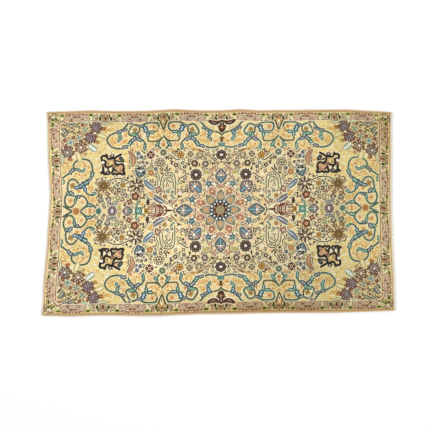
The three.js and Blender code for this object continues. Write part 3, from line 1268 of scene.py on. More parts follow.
class Coil(NamedTuple):
    """One dark band of a cross: its breadth and its middle line."""

    breadth: float
    points: tuple[Point, ...]


@dataclass
class CloudCross:
    """The dark cloud-band cross that stands off each corner of the field."""

    chart: Chart
    bands: tuple[Coil, ...] = (
        Coil(
            13,
            (
                (829, 352), (831, 374), (821, 384), (806, 384), (797, 391), (791, 370), (780, 364),
                (760, 367), (746, 372),
            ),
        ),
        Coil(13, ((829, 353), (806, 349), (804, 338), (805, 318), (799, 309))),
        Coil(15, ((822, 306), (822, 288), (826, 272), (838, 265))),
        Coil(
            11,
            (
                (826, 272), (820, 258), (806, 255), (796, 263), (792, 276), (780, 275), (778, 262),
                (788, 256),
            ),
        ),
        Coil(13, ((744, 368), (720, 382), (696, 394))),
        Coil(12, ((742, 364), (740, 342), (728, 327))),
        Coil(8, ((728, 352), (718, 348), (708, 346))),
        Coil(12, ((803, 308), (789, 306), (768, 311), (757, 320))),
        Coil(10, ((798, 304), (792, 298), (786, 291))),
        Coil(13, ((724, 318), (704, 326), (684, 324), (680, 308), (676, 296), (688, 288))),
        Coil(
            13,
            (
                (682, 288), (678, 274), (676, 256), (700, 259), (714, 262), (728, 255), (740, 262),
                (752, 256), (762, 265), (754, 280), (750, 296),
            ),
        ),
        Coil(10, ((752, 300), (740, 286), (726, 276), (706, 270))),
    )

    def draw(self) -> None:
        """Draws the cross: a gold ground, coiled dark bands and the flower they hold."""
        chart = self.chart
        for x, y, r in ((755, 330, 52), (812, 368, 34), (710, 366, 38), (712, 288, 44), (808, 286, 36)):
            chart.scallop(x, y, r, 8, 0.1, x, IVORY)
        for x, y, r, dye in (
            (770, 338, 32, GOLD), (772, 338, 22, AMBER), (772, 338, 17, STRAW),
            (812, 366, 13, STRAW), (712, 290, 34, PEACH), (720, 356, 14, PEACH),
        ):  # fmt: skip
            chart.disc(x, y, r, dye)
        chart.stroke([(762, 352), (776, 350), (782, 338)], 4.5, AMBER)
        chart.stroke([(781, 338), (781, 324)], 8, OLIVE, leaf_form)
        chart.ovals(692, 360, 55, (25, 15, COAL), (13, 6, SLATE))
        chart.disc(704, 346, 9, COAL)
        for band in self.bands:
            chart.stroke(band.points, band.breadth, IVORY, even, 8)
        for band in self.bands:
            chart.stroke(band.points, band.breadth, COAL, even, 3.5)
            for k, (x, y) in enumerate(chart.curve(band.points, 13)[1:-1]):
                chart.disc(x, y, 2.0, COCOA if k % 2 else UMBER)
        chart.disc(695, 394, 6.5, COAL)
        chart.ovals(822, 316, 0, (11, 14, COAL), (5, 7, ROSE))
        chart.disc(821, 341, 8.5, WHITE)
        chart.ovals(759, 385, -15, (18, 11, COAL), (12, 6, MAUVE))
        chart.oval(757, 385, 5, 3, -15, WHITE)
        chart.discs(810, 268, (9, COAL), (3.6, SAGE))
        chart.oval(790, 268, 8, 5, 40, LILAC)
        chart.disc(747, 315, 15, MAROON)
        chart.floret(747, 315, 14, 5, Tones(COCOA, ROSE, MAUVE, MAROON), 20)
        chart.scallops(711, 290, 6, 0.2, 10, (23, COCOA), (20, PEACH))
        chart.scallop(709, 288, 12, 6, 0.2, 40, RUST)
        chart.disc(712, 290, 5, IVORY)
        chart.stroke([(700, 286), (690, 272), (684, 264)], 9, MAUVE, leaf_form)
        chart.stroke([(700, 318), (690, 312), (684, 300)], 7, ROSE, leaf_form)


@dataclass
class BorderHangings:
    """What hangs into the field from the border: half medallions, lenses and drops."""

    chart: Chart
    half_reach: float = 98.0

    def half_medallion(self) -> None:
        """Draws the maroon half medallion in the middle of the long side, with its pendant."""
        chart = self.chart
        for spread, dye in ((12, IVORY), (0, UMBER)):
            lobe = [(self.half_reach, 634), (66, 618), (36, 616), (14, 630)]
            chart.stroke(lobe, 28, dye, leaf_form, spread + 4)
            chart.stroke([(0, 624), (0, 596)], 30, dye, even, spread)
            chart.stroke([(0, 606), (0, 554)], 50, dye, leaf_form, spread)
            chart.stroke([(0, 582), (26, 590)], 15, dye, even, spread)
        chart.stroke([(84, 628), (60, 616), (38, 614), (26, 622)], 20, MAROON, leaf_form)
        chart.stroke([(74, 622), (56, 615), (38, 615)], 12, MAUVE, leaf_form)
        for x, y, radius, dye in (
            (0, 612, 12, PLUM), (0, 600, 9, MAUVE), (0, 618, 5, PINK), (24, 590, 5, RUST),
            (12, 580, 6, RUST), (0, 584, 6, PEACH), (0, 570, 5, BRICK), (96, 632, 6, AMBER),
            (18, 628, 6, BRICK), (44, 631, 4, ROSE), (66, 633, 4, ROSE),
        ):  # fmt: skip
            chart.disc(x, y, radius, dye)
        for x in (6, 20):
            chart.stroke([(x, 588), (x * 0.7, 574)], 3, COAL)
        vee = [(0, 530), (12, 541), (26, 548), (46, 553)]
        chart.layers(vee, even, (19, IVORY), (12, MOSS), (5, OLIVE))

    def draw(self) -> None:
        """Draws the hangings."""
        chart = self.chart
        self.half_medallion()
        chart.disc(10, 460, 20, IVORY)
        chart.floret(10, 460, 17, 4, Tones(PINE, SEA, TEAL, MINT), 45)
        for lens in (
            [(756, 631), (804, 611), (852, 631)],
            [(1118, 314), (1100, 362), (1118, 410)],
        ):
            chart.layers(lens, leaf_form, (26, IVORY), (20, MOSS), (12, SAGE), (8, IVORY))
        drop = [(403, 574), (403, 600), (403, 634)]
        chart.layers(drop, drop_form, (46, GOLD), (34, AMBER), (25, PEACH), (17, IVORY))
        chart.stroke([(403, 590), (403, 604), (403, 616)], 7, COCOA, leaf_form)
        for way in (-1, 1):
            rim = [(403 + 26 * way, 628), (403 + 12 * way, 592), (403, 566)]
            chart.layers(rim, even, (11, MOSS), (3.4, OLIVE))


FIELD_END, FIELD_TOP = 884.0, 432.0
NOTCH_START, NOTCH_FOOT = 650.0, 236.0


@dataclass
class Field:
    """The inner field: small vines, and the flowers, leaves and feathers among them."""

    chart: Chart
    seed: int = 7
    patches: int = 420
    tries: int = 9000
    spacing: float = 27.5
    leafy: float = 0.7
    flowery: float = 0.62
    blades: tuple[Blade, ...] = (
        Blade(33, BLUE_WING, ((536, 214), (508, 180), (468, 148))),
        Blade(33, GREY_LEAF, ((484, 110), (440, 78), (392, 52))),
        Blade(18, GOLD_WING, ((505, 128), (488, 112), (478, 92))),
        Blade(17, LIME_WING, ((120, 272), (96, 265), (74, 258))),
        Blade(33, BROWN_WING, ((644, 416), (618, 388), (608, 350), (620, 308))),
        Blade(16, GREY_LEAF, ((800, 66), (770, 50), (724, 46))),
        Blade(12, RUST_WING, ((62, 312), (40, 285), (28, 262))),
        Blade(12, RUST_WING, ((34, 316), (52, 296), (84, 280))),
        Blade(10, RUST_WING, ((345, 36), (322, 58), (304, 76))),
        Blade(11, GREEN_LEAF, ((352, 112), (336, 92), (318, 82))),
        Blade(14, BROWN_LINE, ((222, 425), (168, 424), (112, 404))),
        Blade(10, BROWN_WING, ((120, 398), (92, 384), (64, 382))),
    )
    lines: tuple[Blade, ...] = (
        Blade(5.0, OLIVE_LINE, ((436, 256), (431, 220), (446, 196), (440, 174), (424, 158))),
        Blade(
            6.6, OLIVE_LINE,
            (
                (424, 160), (421, 200), (410, 238), (385, 258), (350, 262), (326, 244), (318, 200),
                (318, 150), (320, 108),
            ),
        ),
        Blade(
            6.4, OLIVE_LINE,
            ((402, 162), (402, 196), (386, 222), (362, 232), (344, 220), (334, 190), (334, 150)),
        ),
        Blade(6.0, OLIVE_LINE, ((384, 168), (372, 196), (358, 206), (348, 192))),
        Blade(6.0, BROWN_LINE, ((796, 206), (742, 226), (690, 224), (650, 208), (618, 196))),
        Blade(6.0, BROWN_LINE, ((300, 200), (288, 222), (262, 234), (240, 252), (218, 256))),
        Blade(6.0, BROWN_LINE, ((470, 392), (440, 378), (408, 352))),
        Blade(6.0, BROWN_LINE, ((356, 386), (322, 360), (300, 352), (268, 366))),
    )
    spots: tuple[Spot, ...] = (
        Spot(ROSETTE, 174, 248, 43, 12, UMBER_ROSETTE),
        Spot(ROSETTE, 425, 330, 42, 12, STONE_FLOWER, 10),
        Spot(ROSETTE, 760, 6, 34, 8, MAUVE_ROSETTE),
        Spot(ROSETTE, 845, 75, 24, 7, STONE_ROSETTE),
        Spot(ROSETTE, 214, 392, 25, 8, STONE_FLOWER),
        Spot(ROSETTE, 490, 390, 30, 8, Tones(MAROON, BRICK, IVORY, MAROON)),
        Spot(ROSETTE, 4, 388, 36, 8, UMBER_ROSETTE),
        Spot(FLORET, 572, 382, 32, 3, Tones(SLATE, SLATE, LILAC, WHITE), 80),
        Spot(FLORET, 532, 328, 26, 3, PLUM_FLOWER, 40),
        Spot(FLORET, 490, 265, 23, 5, Tones(TAN, AMBER, PEACH, RUST), 45),
        Spot(FLORET, 455, 290, 15, 5, SLATE_FLOWER),
        Spot(FLORET, 415, 288, 15, 5, BROWN_FLOWER, 20),
        Spot(FLORET, 315, 315, 17, 5, DARK_FLOWER),
        Spot(ROSETTE, 269, 330, 15, 6, STONE_ROSETTE),
        Spot(ROSETTE, 254, 303, 14, 6, UMBER_ROSETTE),
        Spot(FLORET, 185, 328, 24, 6, DARK_FLOWER),
        Spot(FLORET, 110, 325, 24, 6, PLUM_FLOWER),
        Spot(FLORET, 283, 385, 27, 5, GOLD_FLOWER, 18),
        Spot(FLORET, 150, 385, 24, 8, STONE_FLOWER),
        Spot(STAR, 590, 180, 54, 7, Tones(UMBER, PLUM, PINK, WHITE), 90),
        Spot(FLORET, 440, 145, 27, 4, MAROON_FLOWER, 20),
        Spot(ROSETTE, 372, 132, 15, 6, STONE_ROSETTE),
        Spot(FLORET, 390, 96, 17, 4, GOLD_FLOWER, 45),
        Spot(FLORET, 600, 100, 31, 5, BRICK_FLOWER, 30),
        Spot(ROSETTE, 718, 186, 20, 7, STONE_ROSETTE),
        Spot(FLORET, 688, 180, 21, 5, GOLD_FLOWER),
        Spot(FLORET, 640, 62, 22, 4, BRICK_FLOWER, 20),
        Spot(FLORET, 790, 82, 22, 5, PLUM_FLOWER, 15),
        Spot(DROP, 510, 64, 26, 0, PLUM_DROP, 90),
        Spot(DROP, 5, 500, 28, 0, PLUM_DROP, 90),
        Spot(DROP, 605, 8, 24, 0, PLUM_DROP, 0),
    )

    @staticmethod
    def holds(x: float, y: float) -> bool:
        """Tells whether a place is in the field rather than in the scrolls round it."""
        return y < FIELD_TOP and x < FIELD_END and not (x > NOTCH_START and y > NOTCH_FOOT)

    def vines(self) -> None:
        """Draws the net of fine vines, its ring flowers, buds and leaves, over a mottled ground."""
        chart = self.chart
        rng = np.random.default_rng(self.seed)
        for _ in range(self.patches):
            x, y = rng.uniform(0, FIELD_END), rng.uniform(0, FIELD_TOP + 8)
            if self.holds(x, y):
                dye = pick(rng, (STRAW, PEACH, WHITE, GOLD, PINK, STRAW))
                chart.scallop(x, y, rng.uniform(6, 14), 5, 0.4, rng.uniform(0, 72), dye)
        sites: list[Point] = []
        for _ in range(self.tries):
            x, y = rng.uniform(0, FIELD_END), rng.uniform(0, FIELD_TOP)
            free = all((x - u) ** 2 + (y - v) ** 2 > self.spacing**2 for u, v in sites)
            if self.holds(x, y) and free:
                sites.append((x, y))
        threads = []
        for x, y in sites:
            near = sorted(sites, key=lambda site: (site[0] - x) ** 2 + (site[1] - y) ** 2)
            for u, v in near[1 : 2 + int(rng.integers(2))]:
                bulge = rng.uniform(-0.35, 0.35)
                middle = ((x + u) / 2 - bulge * (v - y), (y + v) / 2 + bulge * (u - x))
                threads.append([(x, y), middle, (u, v)])
        for path in threads:
            chart.stroke(path, 12.0, IVORY)
        for path in threads:
            chart.stroke(path, 5.0, pick(rng, (COCOA, OLIVE, UMBER, UMBER)))
            if rng.random() < self.leafy:
                x, y = path[1]
                tip = (x + rng.uniform(-18, 18), y + rng.uniform(-18, 18))
                dye = pick(rng, (UMBER, COCOA, BRICK, COAL, OLIVE))
                chart.stroke([(x, y), tip], 11.0, dye, leaf_form)
        kinds = (DARK_FLOWER, BROWN_FLOWER, DARK_FLOWER, STONE_FLOWER, OLIVE_FLOWER, ROSE_FLOWER)
        for x, y in sites:
            kind = pick(rng, kinds)
            if rng.random() < self.flowery:
                chart.disc(x, y, 17, IVORY)
                chart.floret(x, y, rng.uniform(12, 17), 4, kind, rng.uniform(0, 90))
            else:
                chart.disc(x, y, rng.uniform(4.5, 6.5), kind.outline)

    def palmettes(self) -> None:
        """Draws the florets and the great flower by the scrolls, and the grey-blue palmette."""
        chart = self.chart
        kinds = (BRICK_FLOWER, DARK_FLOWER, STONE_FLOWER, PLUM_FLOWER, BROWN_FLOWER, OLIVE_FLOWER)
        for k, (kind, way) in enumerate(zip(kinds, turns(6, 11.46))):
            x, y = out_from(704, 114, 32, way)
            put_spot(chart, Spot(FLORET, x, y, 19, 4 + k % 2, kind, 30 * k))
        put_spot(chart, Spot(STAR, 824, 174, 47, 11, Tones(COCOA, TAN, OLIVE, LIME), 9))
        for x, y in ((866, 134), (800, 118), (846, 106), (772, 150)):
            chart.floret(x, y, 15, 5, BROWN_FLOWER, x)
        chart.shield(562, 272, 42, 38, 290, Tones(NAVY, SLATE, WHITE, WHITE), NAVY_LEAF)
        chart.stroke([(604, 294), (574, 294), (536, 292)], 9, UMBER, leaf_form)
        chart.stroke([(574, 322), (574, 300), (572, 280)], 8, UMBER, leaf_form)
        chart.disc(541, 268, 8, COAL)

    def long_axis(self) -> None:
        """Draws the lotus of the long axis, and the cross, rosette and palmette beyond it."""
        chart = self.chart
        chart.stroke([(470, 0), (400, 0), (340, 0)], 88, IVORY, leaf_form)
        for k, dye in enumerate((MAROON, ROSE, MAROON, BRICK, COAL, PEACH, MAROON)):
            x, reach = 462 - k * 13, 46 - 2.5 * k
            chart.stroke([(x + 12, reach), (x - 6, reach * 0.5), (x - 8, 0)], 9.5, dye)
        chart.stroke([(395, 0), (360, 0), (330, 0)], 14, MAROON, leaf_form)
        for y in (8, 20, 32, 44):
            chart.stroke([(500, y), (478, y), (462, y - 2)], 7, BRICK, leaf_form)
            chart.stroke([(496, y + 5), (480, y + 5), (466, y + 3)], 3, IVORY)
        chart.rosette(524, 0, 21, 6, GOLD_FLOWER)
        chart.disc(574, 0, 40, IVORY)
        for way in turns(4, 45):
            chart.leaf([(574, 0), out_from(574, 0, 36, way)], 20, GREEN_LEAF)
        chart.scallop(574, 0, 26, 8, 0.2, 0, PINE)
        chart.scallops(574, 0, 8, 0.25, 22, (21, SEA), (12, TEAL))
        chart.disc(574, 0, 6, WHITE)
        chart.leaf([(586, 30), (590, 46), (578, 58)], 13, GREEN_LEAF)
        chart.shield(652, 0, 36, 34, 180, MAUVE_ROSETTE, TEAL_LEAF)
        chart.leaf([(700, 6), (716, 24), (706, 42)], 12, LIME_WING)

    def draw(self) -> None:
        """Draws the whole field."""
        chart = self.chart
        self.vines()
        for blade in self.lines:
            chart.stroke(blade.points, blade.breadth, IVORY, even, 12)
        for blade in self.lines:
            chart.stroke(blade.points, blade.breadth, blade.tones.outline, even, 2.0)
        for spot in self.spots:
            put_spot(chart, spot)
        self.palmettes()
        self.long_axis()
        for blade in self.blades:
            chart.stroke(blade.points, blade.breadth, IVORY, leaf_form, 13)
            chart.leaf(blade.points, blade.breadth, blade.tones)


@dataclass
class Medallion:
    """The round flower in the middle of the rug and the two wreaths about it."""

    chart: Chart

    @staticmethod
    def ring(count: int, start: float, radius: float) -> list[tuple[float, float, float]]:
        """Gives the turn in degrees and the place of evenly spaced spots round the middle."""
        return [(turn, *out_from(0, 0, radius, turn)) for turn in turns(count, start)]

    def wreaths(self) -> None:
        """Draws the wreaths of palmettes, small teal flowers and rust rosettes."""
        chart = self.chart
        for turn, x, y in self.ring(22, 7.0, 160):
            chart.oval(x, y, 15, 7, turn, ROSE)
        foot = Tones(SLATE, BLUE, SKY, WHITE)
        for x, y, length, breadth, turn, body in (
            (251, 0, 60, 43, 180, SLATE), (0, 240, 52, 40, 270, SLATE),
            (178, 162, 56, 47, 222, MAUVE),
        ):  # fmt: skip
            chart.shield(x, y, length, breadth, turn, Tones(NAVY, body, PINK, WHITE), foot)
        for x, y, turn in ((84, 185, 60), (200, 75, 20)):
            chart.disc(x, y, 34, IVORY)
            for k, way in enumerate(turns(6, turn + 30)):
                chart.discs(*out_from(x, y, 30, way), (8, COCOA if k % 2 else RUST), (4, PINK))
            chart.disc(x, y, 25, WHITE)
            for way in turns(5, turn):
                chart.discs(*out_from(x, y, 15, way), (9.2, NAVY), (6.0, TEAL))
            chart.disc(x, y, 4.5, COCOA)
        for x, y in ((92, 213), (230, 86), (112, 168), (176, 96)):
            chart.discs(x, y, (10, IVORY), (6.5, UMBER))
        for x, y, turn in ((61, 131, 65), (140, 52, 20)):
            chart.disc(x, y, 33, IVORY)
            chart.scallop(x, y, 30, 5, 0.2, turn, RUST)
            chart.scallop(x, y, 24, 5, 0.24, turn, ROSE)
            chart.scallop(x, y, 18, 5, 0.3, turn + 36, RUST)
            chart.discs(x, y, (9, PEACH), (4, IVORY))
        for x, y, turn in ((51, 107, 0), (107, 51, 30)):
            chart.floret(x, y, 13, 5, MAROON_FLOWER, turn)
        for start, reach, size in ((8, 158, 12), (11, 215, 10.5)):
            for turn, x, y in self.ring(16, start, reach):
                chart.disc(x, y, size + 3, ROSE)
                chart.scallop(x, y, size + 1, 5, 0.2, turn, IVORY)
                chart.scallop(x, y, size - 2.5, 5, 0.2, turn + 36, PEACH)
                chart.disc(x, y, 4.4, COCOA)

    def petals(self) -> None:
        """Draws the central flower's eight golden petals, each with its eye."""
        chart = self.chart
        layers = (
            (44, 152, 66, IVORY), (44, 146, 59, PINE), (50, 140, 46, STONE), (60, 118, 36, SLATE),
        )  # fmt: skip
        for turn, x, y in self.ring(8, 0, 95):
            for near, far, breadth, dye in layers:
                reaches = (near, near * 0.55 + far * 0.45, far)
                chart.stroke([out_from(0, 0, r, turn) for r in reaches], breadth, dye, petal_form)
            rings = ((22, WHITE), (19.5, NAVY), (16.5, GOLD), (11, PEACH))
            chart.scallops(x, y, 6, 0.12, turn, *rings)
            for way in turns(5, turn):
                chart.disc(*out_from(x, y, 11, way), 3.2, AMBER)
            chart.disc(x, y, 4, OLIVE)
            tip = [out_from(0, 0, r, turn) for r in (118, 132)]
            chart.stroke(tip, 7, OLIVE, leaf_form)

    def flower(self) -> None:
        """Draws the central flower: its petals, beads, black dots and hub."""
        chart = self.chart
        chart.scallop(0, 0, 124, 8, 0.1, 22.5, PINK)
        for turn, x, y in self.ring(8, 22.5, 104):
            chart.ovals(x, y, turn, (22, 11, MAUVE), (14, 5, PINK))
        self.petals()
        chart.scallop(0, 0, 74, 16, 0.06, 0, NAVY)
        for start, reach in ((0, 57), (22.5, 65)):
            for turn, x, y in self.ring(8, start, reach):
                chart.ovals(x, y, turn, (7.5, 6.2, WHITE), (3.4, 2.4, SKY))
        for _, x, y in self.ring(8, 22.5, 51):
            chart.disc(x, y, 5, SLATE)
        chart.disc(0, 0, 48, MAROON)
        for _, x, y in self.ring(8, 22.5, 42):
            chart.discs(x, y, (5, PEACH), (2.2, BRICK))
        for _, x, y in self.ring(8, 0, 43):
            chart.disc(x, y, 6.6, COAL)
        chart.scallop(0, 0, 34, 10, 0.06, 0, OLIVE)
        chart.scallop(0, 0, 32, 10, 0.1, 0, STONE)
        for k, (_, x, y) in enumerate(self.ring(12, 15, 22)):
            chart.disc(x, y, 3.0, TAN if k % 2 else SAGE)
        chart.scallops(0, 0, 8, 0.2, 0, (14, TAN), (10, SAGE))

    def draw(self) -> None:
        """Draws the medallion."""
        self.wreaths()
        self.flower()


class Drift(NamedTuple):
    """How far the design of one quarter has crept off its place, at that quarter's corners."""

    way_x: int
    way_y: int
    dx_mid: float
    dx_side: float
    dx_edge: float
    dx_corner: float
    dy_mid: float
    dy_side: float
    dy_edge: float
    dy_corner: float

    def at(self, along: Array, across: Array) -> tuple[Array, Array]:
        """Gives the creep at shares of the way out along and across the quarter.

        Args:
            along: Shares of the way out along the rug.
            across: Shares of the way out across it.

        Returns:
            The creep along the rug and across it.
        """
        dx = (self.dx_mid * (1 - along) + self.dx_side * along) * (1 - across)
        dx = dx + (self.dx_edge * (1 - along) + self.dx_corner * along) * across
        dy = (self.dy_mid * (1 - along) + self.dy_side * along) * (1 - across)
        dy = dy + (self.dy_edge * (1 - along) + self.dy_corner * along) * across
        return dx, dy


@dataclass
class RugDesign:
    """The whole design: one charted quarter, mirrored, with the weaver's small changes."""

    half_length: float = 1200.0
    half_width: float = 687.7
    knots_along: int = 800
    knots_across: int = 458
    seed: int = 11
    dashes: int = 2300
    held_edge: float = 60.0
    swap_share: float = 0.5
    drifts: tuple[Drift, ...] = (
        Drift(-1, 1, 0, 1, 20, -5, 8, 2, -4, -3),
        Drift(1, 1, 0, 9, 20, 1, 8, 22, -4, 3),
        Drift(-1, -1, 0, 1, 7, -2, 8, 2, 6, -1),
        Drift(1, -1, 0, 9, 7, 1, 8, 22, 6, 1),
    )

    def arabesque_ground(self, chart: Chart) -> None:
        """Fills the straw-yellow zone that the scrolls stand on.

        Args:
            chart: The quarter's chart.
        """
        x, y = chart.middles()
        outer = (y > FIELD_TOP) | (x > FIELD_END - 12) | ((x > NOTCH_START) & (y > NOTCH_FOOT))
        chart.knots[outer & (chart.knots == CREAM.number)] = STRAW.number
        rng = np.random.default_rng(self.seed)
        for _ in range(self.dashes):
            px, py = rng.uniform(0, 1118), rng.uniform(0, 628)
            if not Field.holds(px, py):
                dye = pick(rng, (IVORY, GOLD, IVORY, PEACH, IVORY, CREAM, AMBER, WHITE))
                tip = (px + rng.uniform(-24, 24), py + rng.uniform(-14, 14))
                breadth = rng.uniform(3.0, 6.0) if dye is AMBER else rng.uniform(5.0, 10.0)
                chart.stroke([(px, py), tip], breadth, dye, leaf_form)

    def chart(self) -> Chart:
        """Draws the quarter.

        Returns:
            The charted quarter.
        """
        chart = Chart(self.half_length, self.half_width, self.knots_along, self.knots_across)
        Field(chart).draw()
        self.arabesque_ground(chart)
        scrolls = Arabesque(chart)
        for way, end in ((1, CORNER_END), (-1, CENTRE_END)):
            for unit in (TOP_MIDDLE, end):
                scrolls.draw(unit, Placing(402, 628, (way, 0), (0, -1)))
        scrolls.draw(SIDE_RUN, Placing(0, 0, (1, 0), (0, 1)))
        Medallion(chart).draw()
        CloudCross(chart).draw()
        CornerPiece(chart).draw()
        BorderBand(chart).draw()
        BorderHangings(chart).draw()
        return chart

    def whole(self) -> Array:
        """Mirrors the quarter to the whole rug, with the weaver's drifts and changes of dye.

        Returns:
            A palette number for each knot, in rows across the rug from its near side.
        """
        chart = self.chart()
        columns, rows = 2 * self.knots_along, 2 * self.knots_across
        x = ((np.arange(columns) + 0.5) * chart.pitch_x - self.half_length)[None, :]
        y = ((np.arange(rows) + 0.5) * chart.pitch_y - self.half_width)[:, None]
        to_edge = np.minimum(self.half_length - np.abs(x), self.half_width - np.abs(y))
        hold = np.clip(to_edge / self.held_edge, 0, 1)
        whole = np.zeros((rows, columns), dtype=chart.knots.dtype)
        for drift in self.drifts:
            dx, dy = drift.at(np.abs(x) / self.half_length, np.abs(y) / self.half_width)
            px, py = np.abs(x - dx * hold), np.abs(y - dy * hold)
            column = np.clip((px / chart.pitch_x).astype(int), 0, self.knots_along - 1)
            row = np.clip((py / chart.pitch_y).astype(int), 0, self.knots_across - 1)
            here = (np.sign(x) == drift.way_x) & (np.sign(y) == drift.way_y)
            whole = np.where(here, chart.knots[row, column], whole)
        right = whole[:, self.knots_along :]
        rng = np.random.default_rng(self.seed + 1)
        before = right.copy()
        for old, new in ((BLUE, TEAL), (TEAL, SEA), (PINE, TEAL)):
            chosen = (before == old.number) & (rng.random(right.shape) < self.swap_share)
            right[chosen] = new.number
        return whole


@dataclass(frozen=True)
class Wire:
    """A value that runs between shader nodes; Python's operators add its Math nodes."""

    shop: "Shader"
    socket: bpy.types.NodeSocket

    def sum(self, operation: str, *values: "Value") -> "Wire":
        """Adds a Math node that works on values.

        Args:
            operation: The Math node's operation.
            values: Its values, in order.

        Returns:
            The result.
        """
        return self.shop.make("ShaderNodeMath", {"operation": operation}, dict(enumerate(values)))

    def __add__(self, other: "Value") -> "Wire":
        """Adds."""
        return self.sum("ADD", self, other)

    __radd__ = __add__

    def __mul__(self, other: "Value") -> "Wire":
        """Multiplies."""
        return self.sum("MULTIPLY", self, other)

    __rmul__ = __mul__

    def __sub__(self, other: "Value") -> "Wire":
        """Takes the other value from this one."""
        return self.sum("SUBTRACT", self, other)

    def __rsub__(self, other: "Value") -> "Wire":
        """Takes this value from the other one."""
        return self.sum("SUBTRACT", other, self)

    def __truediv__(self, other: "Value") -> "Wire":
        """Divides this value by the other one."""
        return self.sum("DIVIDE", self, other)

    def __mod__(self, other: "Value") -> "Wire":
        """Takes the rest after division."""
        return self.sum("MODULO", self, other)

    def floor(self) -> "Wire":
        """Drops the fraction."""
        return self.sum("FLOOR", self)

    def fraction(self) -> "Wire":
        """Keeps the fraction."""
        return self.sum("FRACT", self)

    def sine(self) -> "Wire":
        """Takes the sine."""
        return self.sum("SINE", self)

    def power_of(self, base: float) -> "Wire":
        """Raises a number to this value."""
        return self.sum("POWER", base, self)

    def below(self, other: "Value") -> "Wire":
        """Gives 1 where this value is less than the other one."""
        return self.sum("LESS_THAN", self, other)


Value = Union[Wire, float, tuple[float, ...]]


class Shader:
    """Builds the nodes of one material."""

    def __init__(self, name: str) -> None:
        """Starts an empty material.

        Args:
            name: The material's name.
        """
        self.material = bpy.data.materials.new(name)
        self.material.use_nodes = True
        self.tree = self.material.node_tree
        self.tree.nodes.clear()

    def make(
        self,
        kind: str,
        settings: Optional[dict[str, object]] = None,
        inputs: Optional[dict[Union[int, str], Value]] = None,
        output: Union[int, str] = 0,
    ) -> Wire:
        """Adds a node.

        Args:
            kind: The node's type.
            settings: Its settings; "stops" are a ramp's places and colours.
            inputs: The values or links of its sockets.
            output: Which output is used.

        Returns:
            The node's output.
        """
        node = self.tree.nodes.new(kind)
        for key, value in (settings or {}).items():
            if key == "stops":
                self.set_stops(node.color_ramp, value)
            else:
                setattr(node, key, value)
        for key, value in (inputs or {}).items():
            if isinstance(value, Wire):
                self.tree.links.new(value.socket, node.inputs[key])
            else:
                node.inputs[key].default_value = value
        return Wire(self, node.outputs[output])

    @staticmethod
    def set_stops(ramp: bpy.types.ColorRamp, stops: Sequence[tuple[float, tuple]]) -> None:
        """Gives a ramp flat steps of colour that start at the given places.

        Args:
            ramp: The ramp.
            stops: Each step's start and colour.
        """
        ramp.interpolation = "CONSTANT"
        while len(ramp.elements) < len(stops):
            ramp.elements.new(1.0)
        for element, (place, colour) in zip(ramp.elements, stops):
            element.position = place
            element.color = colour

    def tinted(self, colour: Wire, factor: Value, tint: Value, blend: str = "MULTIPLY") -> Wire:
        """Blends a tint into a colour.

        Args:
            colour: The colour.
            factor: How strongly it is tinted.
            tint: The tint.
            blend: How they are blended.

        Returns:
            The tinted colour.
        """
        settings = {"data_type": "RGBA", "blend_type": blend}
        return self.make("ShaderNodeMix", settings, {0: factor, 6: colour, 7: tint}, 2)

    def attribute(self, name: str, output: str) -> Wire:
        """Reads a value that the mesh stores."""
        return self.make("ShaderNodeAttribute", {"attribute_name": name}, None, output)

    def place(self) -> Wire:
        """Gives the place on the object."""
        return self.make("ShaderNodeTexCoord", None, None, "Object")

    def noise(self, place: Wire, scale: float, detail: float = 2.0) -> Wire:
        """Gives a soft noise of 0 to 1 at a place."""
        values = {"Vector": place, "Scale": scale, "Detail": detail}
        return self.make("ShaderNodeTexNoise", None, values)

    def grey(self, value: Wire) -> Wire:
        """Makes a grey colour of a number."""
        return self.make("ShaderNodeCombineColor", None, {0: value, 1: value, 2: value})

    def finish(
        self,
        colour: Union[Wire, tuple[float, ...]],
        roughness: Value,
        height: Wire,
        relief: float,
        fuzz: float,
    ) -> bpy.types.Material:
        """Joins a colour and a relief to a fibrous surface.

        Args:
            colour: Its colour.
            roughness: Its roughness.
            height: Its relief, from 0 to 1.
            relief: How high that relief is, in metres.
            fuzz: How strong the soft sheen of its loose fibres is.

        Returns:
            The material.
        """
        normal = self.make("ShaderNodeBump", None, {"Distance": relief, "Height": height})
        surface = self.make(
            "ShaderNodeBsdfPrincipled",
            None,
            {
                "Base Color": colour,
                "Roughness": roughness,
                "Normal": normal,
                "Specular IOR Level": 0.18,
                "Sheen Weight": fuzz,
                "Sheen Roughness": 0.6,
                "Sheen Tint": (1.0, 0.94, 0.84, 1.0),
            },
        )
        end = self.tree.nodes.new("ShaderNodeOutputMaterial")
        self.tree.links.new(surface.socket, end.inputs["Surface"])
        return self.material


